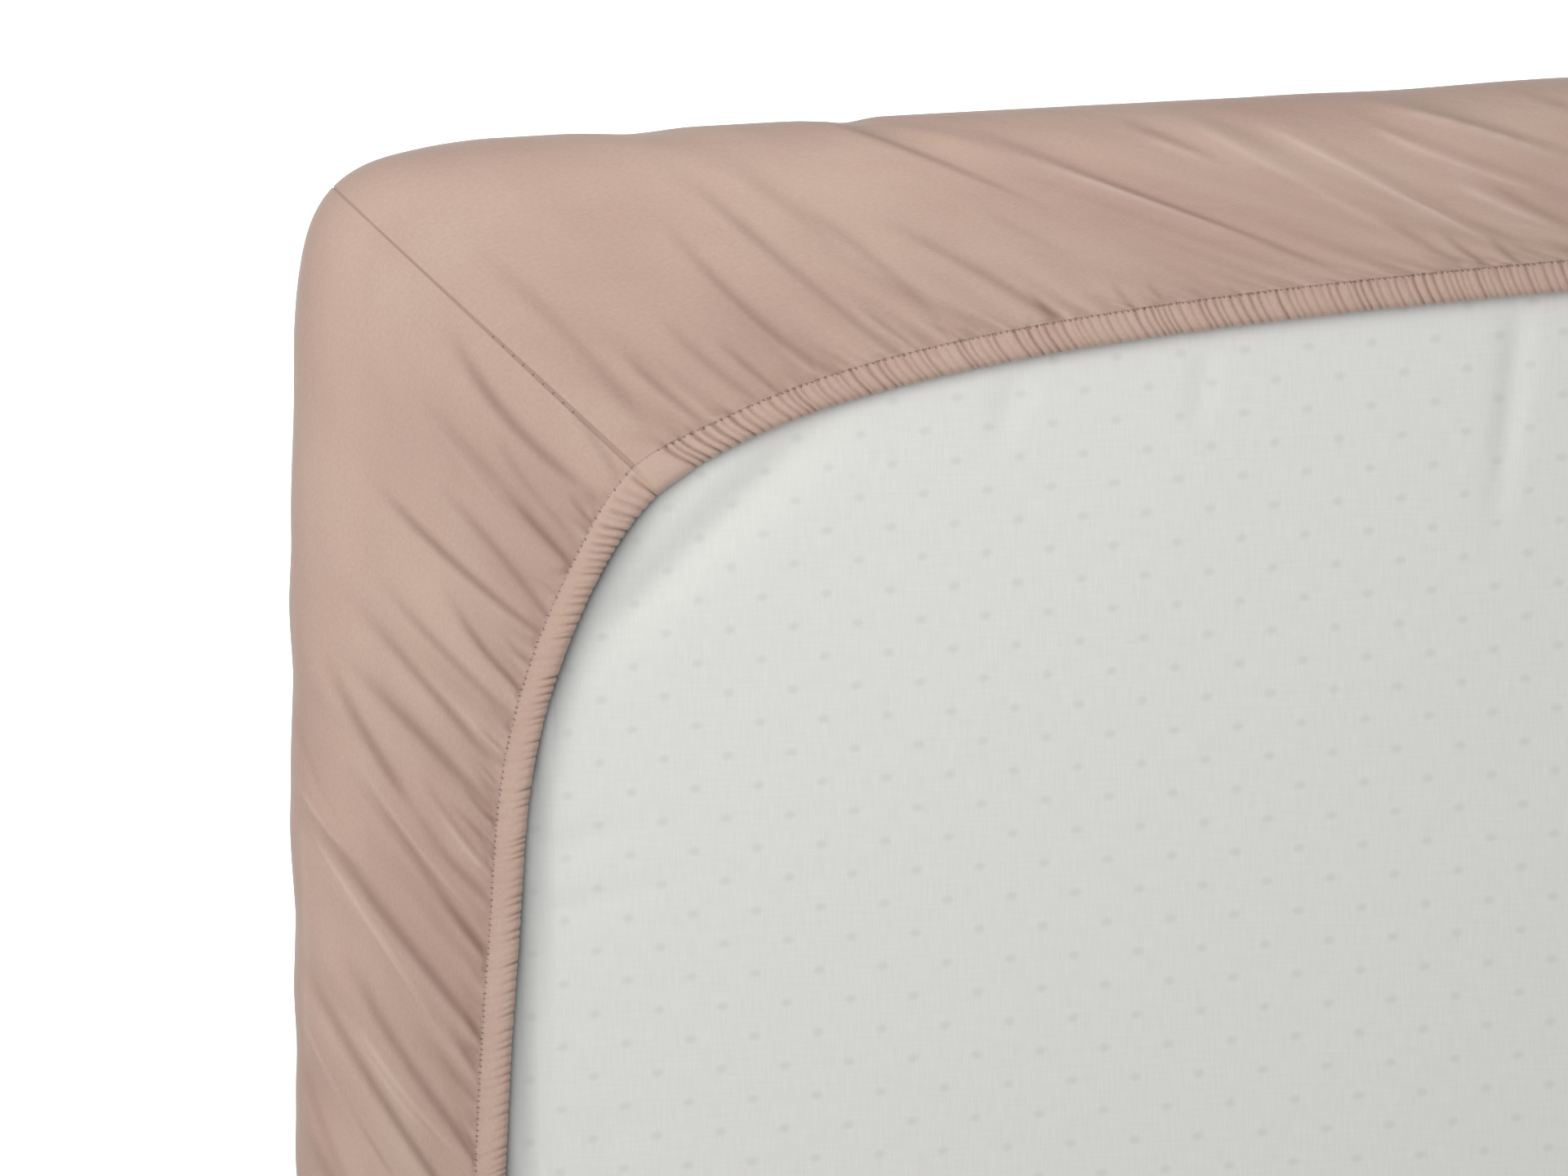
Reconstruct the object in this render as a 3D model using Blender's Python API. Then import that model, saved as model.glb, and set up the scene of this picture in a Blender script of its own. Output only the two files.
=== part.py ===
"""A fitted sheet stretched over a bed mattress, lying with its sleeping face down.

The sheet covers the face that is down and all four sides, and its hem, a narrow casing with
elastic inside, lies on the mattress's underside, which is up here. The elastic gathers the
band between the mattress's edge and the hem into folds that lean away from the corners.

Frame: X runs along the mattress, Y across it, Z up. The origin is the middle of the face
that rests on the ground.

Each half of a side is described from its own corner: `along` runs from the corner down the
side, and `inward` runs from the side towards the middle of the mattress.
"""

import math
import random
from collections import namedtuple

import bmesh
import bpy

# ---------------------------------------------------------------- driving sizes, in metres
MATTRESS_LENGTH = 2.000
MATTRESS_WIDTH = 1.400
MATTRESS_THICKNESS = 0.160
MATTRESS_EDGE_RADIUS = 0.027

CLOTH = 0.0015  # thickness of the sheet
FACE_GAP = 0.0003  # sheet to mattress where it lies flat
EDGE_GAP = 0.0028  # sheet to mattress round the edges, and less by the facets of a corner
SHEET_EDGE_RADIUS = 0.022
CORNER_REACH = 0.048  # how far from the square corner the rounding of the plan starts
LONG_SIDE_BOW = 0.018  # how far the middle of a long side stands out past its ends
SHORT_SIDE_BOW = 0.009

HEM_IN_CORNER = 0.112  # hem to both sides, measured at the corner seam
CASING_WIDTH = 0.0095
CASING_HEIGHT = 0.0040
CASING_CROWN = 0.55  # where the casing is highest, as a share of its width from the rim
CASING_RIM = 0.0024

FOLD_RISE = 0.45  # share of the band over which a fold comes up
HEM_HOLD = 0.55  # share of a fold's height that the casing presses flat
HOLD_BEGINS = 0.75  # where along the fold it starts to
SEAM_HOLD = 0.03  # how far from a seam the folds run straight out from the corner
ROUNDING_STEPS = 3
BAND_STEPS = 4

# ---------------------------------------------------------------- what follows from them
SHEET_SKIN = CLOTH + EDGE_GAP
HALF_LENGTH = MATTRESS_LENGTH / 2 + SHEET_SKIN - SHORT_SIDE_BOW
HALF_WIDTH = MATTRESS_WIDTH / 2 + SHEET_SKIN - LONG_SIDE_BOW
MATTRESS_BOTTOM = CLOTH + FACE_GAP
MATTRESS_TOP = MATTRESS_BOTTOM + MATTRESS_THICKNESS
SHEET_TOP = MATTRESS_TOP + SHEET_SKIN
SEAM_OUTLINE = CORNER_REACH / 4  # the seam meets the outline this far from both sides

# A side's name, half its length, what its hem would draw near to far from the corners and how
# soon it does (1 is a plain hyperbola), and the lean of its folds: at each place along the
# hem, how much nearer to the corner the same thread crosses the mattress's edge.
Lean = namedtuple("Lean", "hem shift")
SIDES = {
    "long": {
        "half": HALF_LENGTH,
        "hem_in": 0.038,
        "hem_bend": 0.80,
        "lean": (Lean(0.112, 0.100), Lean(0.150, 0.100), Lean(0.200, 0.118),
                 Lean(0.320, 0.150), Lean(0.450, 0.145), Lean(HALF_LENGTH, 0.0)),
    },
    "short": {
        "half": HALF_WIDTH,
        "hem_in": 0.048,
        "hem_bend": 1.10,
        "lean": (Lean(0.112, 0.100), Lean(0.170, 0.072), Lean(0.220, 0.074),
                 Lean(0.330, 0.092), Lean(0.400, 0.085), Lean(HALF_WIDTH, 0.0)),
    },
}
ROUNDING_LEAN = 0.42  # share of that shift that happens on the rounded edge

# The folds of the corner that the hem shows best, measured from its seam along the hem:
# where the crest meets the hem, half its width, its height, where it begins (0 is the
# mattress's edge, 1 the stitch line, and a fold that begins below 0 dents the wall too), and
# how far it strays from the threads' lean by the edge.
Fold = namedtuple("Fold", "at half_width height begins strays")
CORNER_FOLDS = {
    "long": (
        Fold(0.004, 0.011, 0.0014, 0.55, 0.000),
        Fold(0.031, 0.015, 0.0022, 0.20, 0.004),
        Fold(0.056, 0.011, 0.0016, 0.35, -0.004),
        Fold(0.077, 0.012, 0.0022, 0.18, 0.006),
        Fold(0.103, 0.015, 0.0026, 0.10, 0.003),
        Fold(0.131, 0.012, 0.0018, 0.30, -0.006),
        Fold(0.158, 0.016, 0.0024, 0.15, 0.005),
        Fold(0.188, 0.014, 0.0022, 0.20, 0.000),
        Fold(0.213, 0.016, 0.0036, -0.12, -0.012),
        Fold(0.246, 0.017, 0.0026, 0.08, -0.008),
        Fold(0.272, 0.013, 0.0032, -0.04, 0.006),
        Fold(0.303, 0.017, 0.0028, 0.00, 0.000),
        Fold(0.334, 0.020, 0.0034, -0.10, 0.008),
    ),
    "short": (
        Fold(0.009, 0.011, 0.0018, 0.25, 0.008),
        Fold(0.030, 0.011, 0.0024, 0.15, 0.006),
        Fold(0.048, 0.010, 0.0018, 0.35, 0.000),
        Fold(0.066, 0.012, 0.0028, 0.10, 0.004),
        Fold(0.088, 0.011, 0.0022, 0.18, -0.004),
        Fold(0.107, 0.011, 0.0026, 0.04, 0.003),
        Fold(0.128, 0.012, 0.0022, 0.12, 0.000),
        Fold(0.151, 0.013, 0.0034, -0.08, 0.006),
        Fold(0.176, 0.013, 0.0026, 0.05, -0.004),
        Fold(0.201, 0.014, 0.0032, -0.06, 0.004),
        Fold(0.229, 0.016, 0.0026, 0.02, 0.000),
        Fold(0.258, 0.015, 0.0034, -0.10, 0.005),
    ),
}

# The rest of the folds: how far apart they are up to each distance from a seam, how uneven
# that spacing is, and the sizes between which they are drawn.
Spacing = namedtuple("Spacing", "reach step")
PLAIN_SPACING = (Spacing(0.080, 0.021), Spacing(0.240, 0.044), Spacing(1.0, 0.086))
PLAIN_UNEVEN = 0.22
PLAIN_FOLD_WIDTH = 0.6  # half a fold's width, as a share of its spacing
PLAIN_FOLD_HEIGHT = (0.0020, 0.0044)
PLAIN_FOLD_BEGINS = (-0.04, 0.15)
FOLD_SEED = 7
CLOSEST_COLUMNS = 0.006  # folds nearer to a seam than this get no trough of their own

# The mattress is plain, so its columns are spaced by the rounding of its corners.
MATTRESS_SPACING = (Spacing(0.060, 0.012), Spacing(1.0, 0.180))

# Corners in order round the mattress, seen from above: the signs of X and Y, the side that
# leads on to the next corner, and the side that comes from the one before.
Corner = namedtuple("Corner", "x y onward back shown")
CORNERS = (
    Corner(-1, +1, "short", "long", True),
    Corner(-1, -1, "long", "short", False),
    Corner(+1, -1, "short", "long", False),
    Corner(+1, +1, "long", "short", False),
)


# ---------------------------------------------------------------- plan of a half side
def ease(t):
    """0 to 1 with a soft start and a soft stop."""
    t = min(max(t, 0.0), 1.0)
    return t * t * (3 - 2 * t)


def read_table(rows, place):
    """Straight-line reading of rows of (place, value)."""
    for (place_a, value_a), (place_b, value_b) in zip(rows, rows[1:]):
        if place <= place_b:
            share = max(0.0, (place - place_a) / (place_b - place_a))
            return value_a + (value_b - value_a) * share
    return rows[-1][1]


def outline_point(along):
    """The sheet's widest line in plan, and the direction inward from it."""
    if along >= CORNER_REACH:
        return (along, 0.0), (0.0, 1.0)
    t = math.sqrt(along / CORNER_REACH)
    length = math.hypot(1 - t, t)
    return (along, CORNER_REACH * (1 - t) ** 2), ((1 - t) / length, t / length)


def hem_point(along, side):
    """The hem's inner edge in plan, and the direction from it out to the mattress's edge.

    The hem is a bow that draws near to the side's hem_in from both of its corners.
    """
    hem_in, bend = SIDES[side]["hem_in"], SIDES[side]["hem_bend"]
    near = HEM_IN_CORNER - hem_in
    far = 2 * SIDES[side]["half"] - HEM_IN_CORNER - hem_in
    a = (along - hem_in) / near
    b = (near + far) / near - a
    pull = near / (1 + (near / far) ** bend)
    slope = pull * bend / near * (b ** (-bend - 1) - a ** (-bend - 1))
    length = math.hypot(slope, 1.0)
    return (along, hem_in + pull * (a**-bend + b**-bend)), (slope / length, -1 / length)


def inset_point(along, inset):
    """A point of the plan this far inside the sheet's widest line."""
    point, inward = outline_point(along)
    return (point[0] + inward[0] * inset, point[1] + inward[1] * inset)


# ---------------------------------------------------------------- folds
def spaced_places(start, end, spacings, uneven, rng):
    """Places after start and before end, as far apart as the spacings say."""
    places = []
    place = start
    while True:
        step = next(spacing.step for spacing in spacings if place <= spacing.reach)
        place += step * (1 + rng.uniform(-uneven, uneven))
        if place > end - step / 2:
            return places
        places.append(place)


def folds_of(corner, side, rng):
    """The folds of one half side: the corner's own, then plain ones on to its middle."""
    folds = list(CORNER_FOLDS[side]) if corner.shown else []
    start = folds[-1].at if folds else 0.0
    length = SIDES[side]["half"] - HEM_IN_CORNER
    crests = spaced_places(start, length, PLAIN_SPACING, PLAIN_UNEVEN, rng)
    for before, crest, after in zip([start] + crests, crests, crests[1:] + [length]):
        half_width = PLAIN_FOLD_WIDTH * (after - before) / 2
        height = rng.uniform(*PLAIN_FOLD_HEIGHT)
        begins = rng.uniform(*PLAIN_FOLD_BEGINS)
        folds.append(Fold(crest, half_width, height, begins, 0.0))
    return folds


def fold_height(folds, hem_place, share):
    """How high the folds lift the cloth; share runs from 0, the edge, to 1, the stitches."""
    height = 0.0
    for fold in folds:
        crest = fold.at + fold.strays * (1 - share)
        off = abs(hem_place - crest) / fold.half_width
        if off < 1:
            rise = ease((share - fold.begins) / FOLD_RISE)
            height += fold.height * rise * (0.5 + 0.5 * math.cos(math.pi * off))
    return height * (1 - HEM_HOLD * ease((share - HOLD_BEGINS) / (1 - HOLD_BEGINS)))


# ---------------------------------------------------------------- columns round the sheet
Column = namedtuple("Column", "corner side hem_place folds")


def sheet_half(corner, side, rng):
    """Columns of half a side: on each fold's crest and in the troughs between."""
    folds = folds_of(corner, side, rng)
    stops = [0.0] + [fold.at for fold in folds] + [SIDES[side]["half"] - HEM_IN_CORNER]
    places = [0.0]
    for before, stop in zip(stops, stops[1:]):
        if stop - before > CLOSEST_COLUMNS:
            places.append((before + stop) / 2)
        places.append(stop)
    return [Column(corner, side, place, folds) for place in places]


def mattress_half(corner, side, rng):
    """Columns of half a side of the mattress."""
    length = SIDES[side]["half"] - HEM_IN_CORNER
    places = spaced_places(0.0, length, MATTRESS_SPACING, 0.0, rng)
    return [Column(corner, side, place, ()) for place in [0.0] + places + [length]]


def columns_round(half_side):
    """Every column, in order round the mattress, from the halves of its sides."""
    rng = random.Random(FOLD_SEED)
    ring = []
    for corner in CORNERS:
        back = half_side(corner, corner.back, rng)
        onward = half_side(corner, corner.onward, rng)
        # Two halves share the column at the corner's seam and the one in mid-side.
        ring += back[:0:-1] + onward[:-1]
    return ring


def to_world(column, plan, height):
    """A half side's plan point at its place in the whole, with the sides bowed outward."""
    along, inward = plan
    if column.side == "long":
        x = column.corner.x * (HALF_LENGTH - along)
        y = column.corner.y * (HALF_WIDTH - inward)
    else:
        x = column.corner.x * (HALF_LENGTH - inward)
        y = column.corner.y * (HALF_WIDTH - along)
    across = 1 - (y / HALF_WIDTH) ** 2
    down = 1 - (x / HALF_LENGTH) ** 2
    return (x * (1 + SHORT_SIDE_BOW / HALF_LENGTH * across),
            y * (1 + LONG_SIDE_BOW / HALF_WIDTH * down), height)


# ---------------------------------------------------------------- the sheet's two skins
def skin(column, depth):
    """Points of one skin of the sheet, from under the mattress round to the stitch line.

    depth is how far the skin lies inside the outer face of the cloth.
    """
    hem_along = HEM_IN_CORNER + column.hem_place
    shift = read_table(SIDES[column.side]["lean"], hem_along)
    edge_along = max(hem_along - shift, SEAM_OUTLINE)
    if column.hem_place == 0.0:
        edge_along = SEAM_OUTLINE
    spread = 1 - math.exp(-column.hem_place / SEAM_HOLD)
    radius = SHEET_EDGE_RADIUS
    points = []

    for step in range(ROUNDING_STEPS):
        angle = math.pi / 2 * (1 - step / (ROUNDING_STEPS - 1))
        inset = radius - (radius - depth) * math.cos(angle)
        height = radius - (radius - depth) * math.sin(angle)
        points.append(to_world(column, inset_point(edge_along, inset), height))

    for step in range(ROUNDING_STEPS + 1):
        angle = math.pi / 2 * step / ROUNDING_STEPS
        share = math.sin(angle / 2) ** 2
        lift = fold_height(column.folds, column.hem_place, share)
        reach = radius - depth + lift
        along = edge_along + shift * spread * ROUNDING_LEAN * step / ROUNDING_STEPS
        plan = inset_point(along, radius - reach * math.cos(angle))
        points.append(to_world(column, plan, SHEET_TOP - radius + reach * math.sin(angle)))
    edge_plan = inset_point(edge_along + shift * spread * ROUNDING_LEAN, radius)

    rim, outward = hem_point(hem_along, column.side)
    stitch = (rim[0] + outward[0] * CASING_WIDTH, rim[1] + outward[1] * CASING_WIDTH)
    for step in range(1, BAND_STEPS + 1):
        part = step / BAND_STEPS
        share = 0.5 + 0.5 * part
        plan = tuple(e + (s - e) * part for e, s in zip(edge_plan, stitch))
        rest = MATTRESS_TOP + FACE_GAP + (EDGE_GAP - FACE_GAP) * (1 - ease(part)) + CLOTH
        lift = fold_height(column.folds, column.hem_place, share)
        points.append(to_world(column, plan, rest - depth + lift))
    return points


def casing(column):
    """Points over the casing: its crown, the top of its rim and the bottom of its rim."""
    rim, outward = hem_point(HEM_IN_CORNER + column.hem_place, column.side)
    crown = tuple(r + o * CASING_WIDTH * CASING_CROWN for r, o in zip(rim, outward))
    floor = MATTRESS_TOP + FACE_GAP
    return [to_world(column, crown, floor + CASING_HEIGHT),
            to_world(column, rim, floor + CASING_RIM),
            to_world(column, rim, floor)]


def sheet_section(column):
    """The whole closed section of the cloth at one column: outer skin, hem, inner skin."""
    return skin(column, 0.0) + casing(column) + skin(column, CLOTH)[::-1]


def mattress_section(column):
    """The mattress's section at one column: bottom, rounded edges, top."""
    edge_along = SEAM_OUTLINE + column.hem_place
    points = []
    for step in range(ROUNDING_STEPS + 1):
        angle = math.pi / 2 * step / ROUNDING_STEPS
        inset = SHEET_SKIN + MATTRESS_EDGE_RADIUS * (1 - math.sin(angle))
        height = MATTRESS_BOTTOM + MATTRESS_EDGE_RADIUS * (1 - math.cos(angle))
        points.append((inset, height))
    points += [(inset, MATTRESS_BOTTOM + MATTRESS_TOP - height) for inset, height in points[::-1]]
    return [to_world(column, inset_point(edge_along, inset), height) for inset, height in points]


# ---------------------------------------------------------------- solids
def closed_solid(name, columns, section):
    """Bridge the sections of neighbouring columns, and close the first and last rings."""
    mesh = bpy.data.meshes.new(name)
    bm = bmesh.new()
    rings = [[bm.verts.new(point) for point in section(column)] for column in columns]
    for here, after in zip(rings, rings[1:] + rings[:1]):
        for row in range(len(here) - 1):
            bm.faces.new((here[row], after[row], after[row + 1], here[row + 1]))
    bm.faces.new([ring[0] for ring in rings[::-1]])
    bm.faces.new([ring[-1] for ring in rings])
    bmesh.ops.recalc_face_normals(bm, faces=bm.faces)
    bmesh.ops.triangulate(bm, faces=bm.faces, quad_method="SHORT_EDGE", ngon_method="BEAUTY")
    bm.to_mesh(mesh)
    bm.free()
    solid = bpy.data.objects.new(name, mesh)
    bpy.context.scene.collection.objects.link(solid)
    mesh.shade_smooth()
    return solid


def fabric(name, colour, roughness):
    """A plain matt fabric in one colour."""
    material = bpy.data.materials.new(name)
    material.use_nodes = True
    shader = material.node_tree.nodes["Principled BSDF"]
    shader.inputs["Base Color"].default_value = (*colour, 1.0)
    shader.inputs["Roughness"].default_value = roughness
    shader.inputs["Metallic"].default_value = 0.0
    material.diffuse_color = (*colour, 1.0)
    return material


def build_sheet():
    """The sheet: one cloth from the sleeping face round to the elastic hem."""
    sheet = closed_solid("fitted_sheet", columns_round(sheet_half), sheet_section)
    sheet.data.materials.append(fabric("rose_cotton", (0.50, 0.34, 0.27), 0.85))
    return sheet


def build_mattress():
    """The mattress inside it, plain, in a white cover."""
    mattress = closed_solid("mattress", columns_round(mattress_half), mattress_section)
    mattress.data.materials.append(fabric("white_ticking", (0.72, 0.73, 0.72), 0.9))
    return mattress


def main():
    for old in list(bpy.data.objects):
        bpy.data.objects.remove(old, do_unlink=True)
    build_sheet()
    build_mattress()


main()
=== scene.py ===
# %% [markdown]
# # A fitted sheet, stretched over a mattress
#
# The object is a full bed mattress lying on its sleeping face, with a fitted sheet pulled over
# it. We look down on its underside. The sheet covers the sides and turns over the edge in a
# band, and an elastic hem holds that band on the white cover of the mattress.
#
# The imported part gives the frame: two plain solids at their real size. Everything below is in
# metres and in that same frame, with X along the mattress, Y across it and Z up. Nothing is
# fitted afterwards, because each piece is worked out from the sizes that the solids have.

import math
import random
from collections import namedtuple

import bpy
import numpy as np
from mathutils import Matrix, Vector
from mathutils.kdtree import KDTree


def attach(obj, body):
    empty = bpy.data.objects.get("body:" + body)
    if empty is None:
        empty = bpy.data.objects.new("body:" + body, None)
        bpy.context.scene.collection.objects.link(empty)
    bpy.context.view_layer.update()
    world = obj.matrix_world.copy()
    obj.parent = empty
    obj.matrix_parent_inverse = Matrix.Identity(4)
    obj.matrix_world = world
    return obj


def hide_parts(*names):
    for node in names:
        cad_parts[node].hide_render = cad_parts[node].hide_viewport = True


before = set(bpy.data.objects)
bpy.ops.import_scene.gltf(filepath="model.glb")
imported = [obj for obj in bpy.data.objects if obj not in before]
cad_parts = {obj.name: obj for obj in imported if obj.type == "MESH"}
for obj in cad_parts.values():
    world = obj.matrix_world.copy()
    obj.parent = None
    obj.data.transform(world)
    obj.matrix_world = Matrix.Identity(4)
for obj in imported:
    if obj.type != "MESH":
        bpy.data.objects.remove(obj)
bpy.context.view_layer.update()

# %% [markdown]
# ## Sizes
#
# A fitted sheet is cut from one rectangle with a square notched out of each corner. The
# notches are sewn up into four short seams, and the raw edge is folded over into a narrow
# casing with elastic inside. These are the sizes of the mattress, of the cloth over its edge
# and of that casing. They repeat the part's own sizes, so that the fine cloth lies exactly
# where its solid is.

# %% Sizes of the mattress, the cloth and the hem
MM = 0.001

MATTRESS_LENGTH = 2.000
MATTRESS_WIDTH = 1.400
MATTRESS_THICKNESS = 0.160
MATTRESS_EDGE_RADIUS = 0.027

CLOTH = 0.0015
FACE_GAP = 0.0003  # between the sheet and the mattress's two faces
EDGE_GAP = 0.0028  # and round its edges
SHEET_EDGE_RADIUS = 0.022
CORNER_REACH = 0.048  # how far from the square corner its rounding begins
LONG_SIDE_BOW = 0.018
SHORT_SIDE_BOW = 0.009

HEM_IN_CORNER = 0.112
CASING_WIDTH = 0.0095

SHEET_SKIN = CLOTH + EDGE_GAP
HALF_LENGTH = MATTRESS_LENGTH / 2 + SHEET_SKIN - SHORT_SIDE_BOW
HALF_WIDTH = MATTRESS_WIDTH / 2 + SHEET_SKIN - LONG_SIDE_BOW
MATTRESS_BOTTOM = CLOTH + FACE_GAP
MATTRESS_TOP = MATTRESS_BOTTOM + MATTRESS_THICKNESS
SHEET_TOP = MATTRESS_TOP + SHEET_SKIN
SEAM_OUTLINE = CORNER_REACH / 4  # where a seam crosses the outline, from the square corner
print(f"outside the sheet at its corners: {2 * HALF_LENGTH:.4f} x {2 * HALF_WIDTH:.4f} m")

# %% [markdown]
# ## One side, described from its corner
#
# The mattress has four corners and each corner has two half sides, so there are eight half
# sides, all made alike. A place on one is given by `along`, from the corner down the side, and
# `inward`, from the side towards the middle. The outline rounds the corner in a parabola. The
# hem is a bow that draws near to the side far from both corners, because the elastic pulls the
# corners in more than it can pull the straight sides. `hem_in` is how near it draws, and
# `hem_bend` how soon.
#
# Numpy works a whole row of places out at once, which is much quicker than a loop over
# vertices.

# %% The corners, and a soft step
Corner = namedtuple("Corner", "x y onward back shown")
CORNERS = (
    Corner(-1, +1, "short", "long", True),
    Corner(-1, -1, "long", "short", False),
    Corner(+1, -1, "short", "long", False),
    Corner(+1, +1, "long", "short", False),
)


def ease(t):
    """0 to 1 with a soft start and a soft stop."""
    t = np.clip(t, 0.0, 1.0)
    return t * t * (3 - 2 * t)


# %% The outline in plan
def inset_plan(along, inset):
    """Plan points this far inside the sheet's widest line."""
    t = np.sqrt(np.clip(along / CORNER_REACH, 0.0, 1.0))
    length = np.hypot(1 - t, t)
    return along + (1 - t) / length * inset, CORNER_REACH * (1 - t) ** 2 + t / length * inset


# %% How the hem runs along each kind of side
# `lean` says how far the threads shift on their way from the hem to the edge.
Lean = namedtuple("Lean", "hem shift")
Side = namedtuple("Side", "half_length hem_in hem_bend lean")
SIDES = {
    "long": Side(HALF_LENGTH, 0.038, 0.80, (
        Lean(0.112, 0.100), Lean(0.150, 0.100), Lean(0.200, 0.118),
        Lean(0.320, 0.150), Lean(0.450, 0.145), Lean(HALF_LENGTH, 0.0),
    )),
    "short": Side(HALF_WIDTH, 0.048, 1.10, (
        Lean(0.112, 0.100), Lean(0.170, 0.072), Lean(0.220, 0.074),
        Lean(0.330, 0.092), Lean(0.400, 0.085), Lean(HALF_WIDTH, 0.0),
    )),
}

# %% [markdown]
# ## Swells
#
# No real outline is as even as a formula. Each row of these tables pushes a line out, or in
# where its height is negative, around one place on the corner that we look at. The last table
# draws the hem's corner along its diagonal, with equal rows for both sides so that they still
# meet. The stitches follow it more than the rim does, so the casing is widest at the seam.

# %% Swells of the outline, of the hem and of its corner
Swell = namedtuple("Swell", "side at half_width height")
OUTLINE_SWELLS = (
    Swell("short", 0.036, 0.024, -0.0010), Swell("short", 0.112, 0.040, 0.0010),
    Swell("short", 0.142, 0.024, 0.0014), Swell("short", 0.176, 0.028, 0.0008),
    Swell("short", 0.206, 0.032, 0.0016), Swell("short", 0.254, 0.026, 0.0006),
    Swell("short", 0.305, 0.018, 0.0006), Swell("long", 0.035, 0.026, -0.0014),
    Swell("long", 0.102, 0.022, -0.0012), Swell("long", 0.165, 0.016, -0.0014),
    Swell("long", 0.390, 0.060, 0.0013),
)
HEM_SWELLS = (Swell("short", 0.192, 0.060, -0.0022),)
CORNER_SWELLS = (
    Swell("long", HEM_IN_CORNER, 0.026, -0.0017), Swell("short", HEM_IN_CORNER, 0.026, -0.0017),
)
RIM_DRAWN = 0.1  # share of its corner's swell that the hem's rim follows


def swelling(table, half, along):
    """How far a line swells at each place along it, on the sides of the corner we look at."""
    height = 0.0 * along
    for swell in table:
        if half.corner.shown and swell.side == half.side:
            off = np.clip(np.abs(along - swell.at) / swell.half_width, 0.0, 1.0)
            height = height + swell.height * (0.5 + 0.5 * np.cos(np.pi * off))
    return height


# %% The hem in plan
def hem_plan(half, along, outward):
    """Plan points this far outside the hem's inner edge."""
    half_length, hem_in, bend = SIDES[half.side][:3]
    near = HEM_IN_CORNER - hem_in
    far = 2 * half_length - HEM_IN_CORNER - hem_in
    a = (along - hem_in) / near
    b = (near + far) / near - a
    pull = near / (1 + (near / far) ** bend)
    slope = pull * bend / near * (b ** (-bend - 1) - a ** (-bend - 1))
    length = np.hypot(slope, 1.0)
    inward = hem_in + pull * (a**-bend + b**-bend) + swelling(HEM_SWELLS, half, along)
    share = RIM_DRAWN + (1 - RIM_DRAWN) * outward / CASING_WIDTH
    drawn = swelling(CORNER_SWELLS, half, along) * share
    return along + drawn + slope / length * outward, inward + drawn - outward / length


# %% From a half side to its place in the whole
def to_world(half, along, inward, height):
    """Points of a half side at their place in the whole, with the sides bowed outward."""
    if half.side == "long":
        x = half.corner.x * (HALF_LENGTH - along)
        y = half.corner.y * (HALF_WIDTH - inward)
    else:
        x = half.corner.x * (HALF_LENGTH - inward)
        y = half.corner.y * (HALF_WIDTH - along)
    across = 1 - (y / HALF_WIDTH) ** 2
    down = 1 - (x / HALF_LENGTH) ** 2
    bowed_x = x * (1 + SHORT_SIDE_BOW / HALF_LENGTH * across)
    bowed_y = y * (1 + LONG_SIDE_BOW / HALF_WIDTH * down)
    return np.stack(np.broadcast_arrays(bowed_x, bowed_y, height), axis=-1)


# %% [markdown]
# ## The main folds
#
# The elastic is shorter than the cloth, so the band gathers into folds. They could come from a
# cloth simulation, but a simulation puts folds where it likes. Here each fold is a row of a
# table instead: where its crest meets the hem, how wide and high it is, where between the
# mattress's edge (0) and the stitches (1) it begins, and how far its crest strays sideways by
# the edge. The folds of the corner that we look at are given one by one. The others are drawn by
# chance from a fixed seed, in the same order as in the part, so they are the same folds.

# %% How the folds rise and are held
ROUNDING_LEAN = 0.42  # share of the threads' shift that happens on the rounded edge
SEAM_HOLD = 0.03  # how far from a seam the folds run straight out from the corner
FOLD_RISE = 0.45  # share of the band over which a fold comes up
HEM_HOLD = 0.55  # share of a fold's height that the casing presses flat
HOLD_BEGINS = 0.75  # where along the fold it starts to

# %% Folds of the corner that we look at
Fold = namedtuple("Fold", "at half_width height begins strays")
CORNER_FOLDS = {
    "long": (
        Fold(0.004, 0.011, 0.0014, 0.55, 0.000),
        Fold(0.031, 0.015, 0.0022, 0.20, 0.004),
        Fold(0.056, 0.011, 0.0016, 0.35, -0.004),
        Fold(0.077, 0.012, 0.0022, 0.18, 0.006),
        Fold(0.103, 0.015, 0.0026, 0.10, 0.003),
        Fold(0.131, 0.012, 0.0018, 0.30, -0.006),
        Fold(0.158, 0.016, 0.0024, 0.15, 0.005),
        Fold(0.188, 0.014, 0.0022, 0.20, 0.000),
        Fold(0.213, 0.016, 0.0036, -0.12, -0.012),
        Fold(0.246, 0.017, 0.0026, 0.08, -0.008),
        Fold(0.272, 0.013, 0.0032, -0.04, 0.006),
        Fold(0.303, 0.017, 0.0028, 0.00, 0.000),
        Fold(0.334, 0.020, 0.0034, -0.10, 0.008),
    ),
    "short": (
        Fold(0.009, 0.011, 0.0018, 0.25, 0.008),
        Fold(0.030, 0.011, 0.0024, 0.15, 0.006),
        Fold(0.048, 0.010, 0.0018, 0.35, 0.000),
        Fold(0.066, 0.012, 0.0028, 0.10, 0.004),
        Fold(0.088, 0.011, 0.0022, 0.18, -0.004),
        Fold(0.107, 0.011, 0.0026, 0.04, 0.003),
        Fold(0.128, 0.012, 0.0022, 0.12, 0.000),
        Fold(0.151, 0.013, 0.0034, -0.08, 0.006),
        Fold(0.176, 0.013, 0.0026, 0.05, -0.004),
        Fold(0.201, 0.014, 0.0032, -0.06, 0.004),
        Fold(0.229, 0.016, 0.0026, 0.02, 0.000),
        Fold(0.258, 0.015, 0.0034, -0.10, 0.005),
    ),
}
CORNER_CALM = 0.5  # share of its height that such a fold keeps beside its creases

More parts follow.
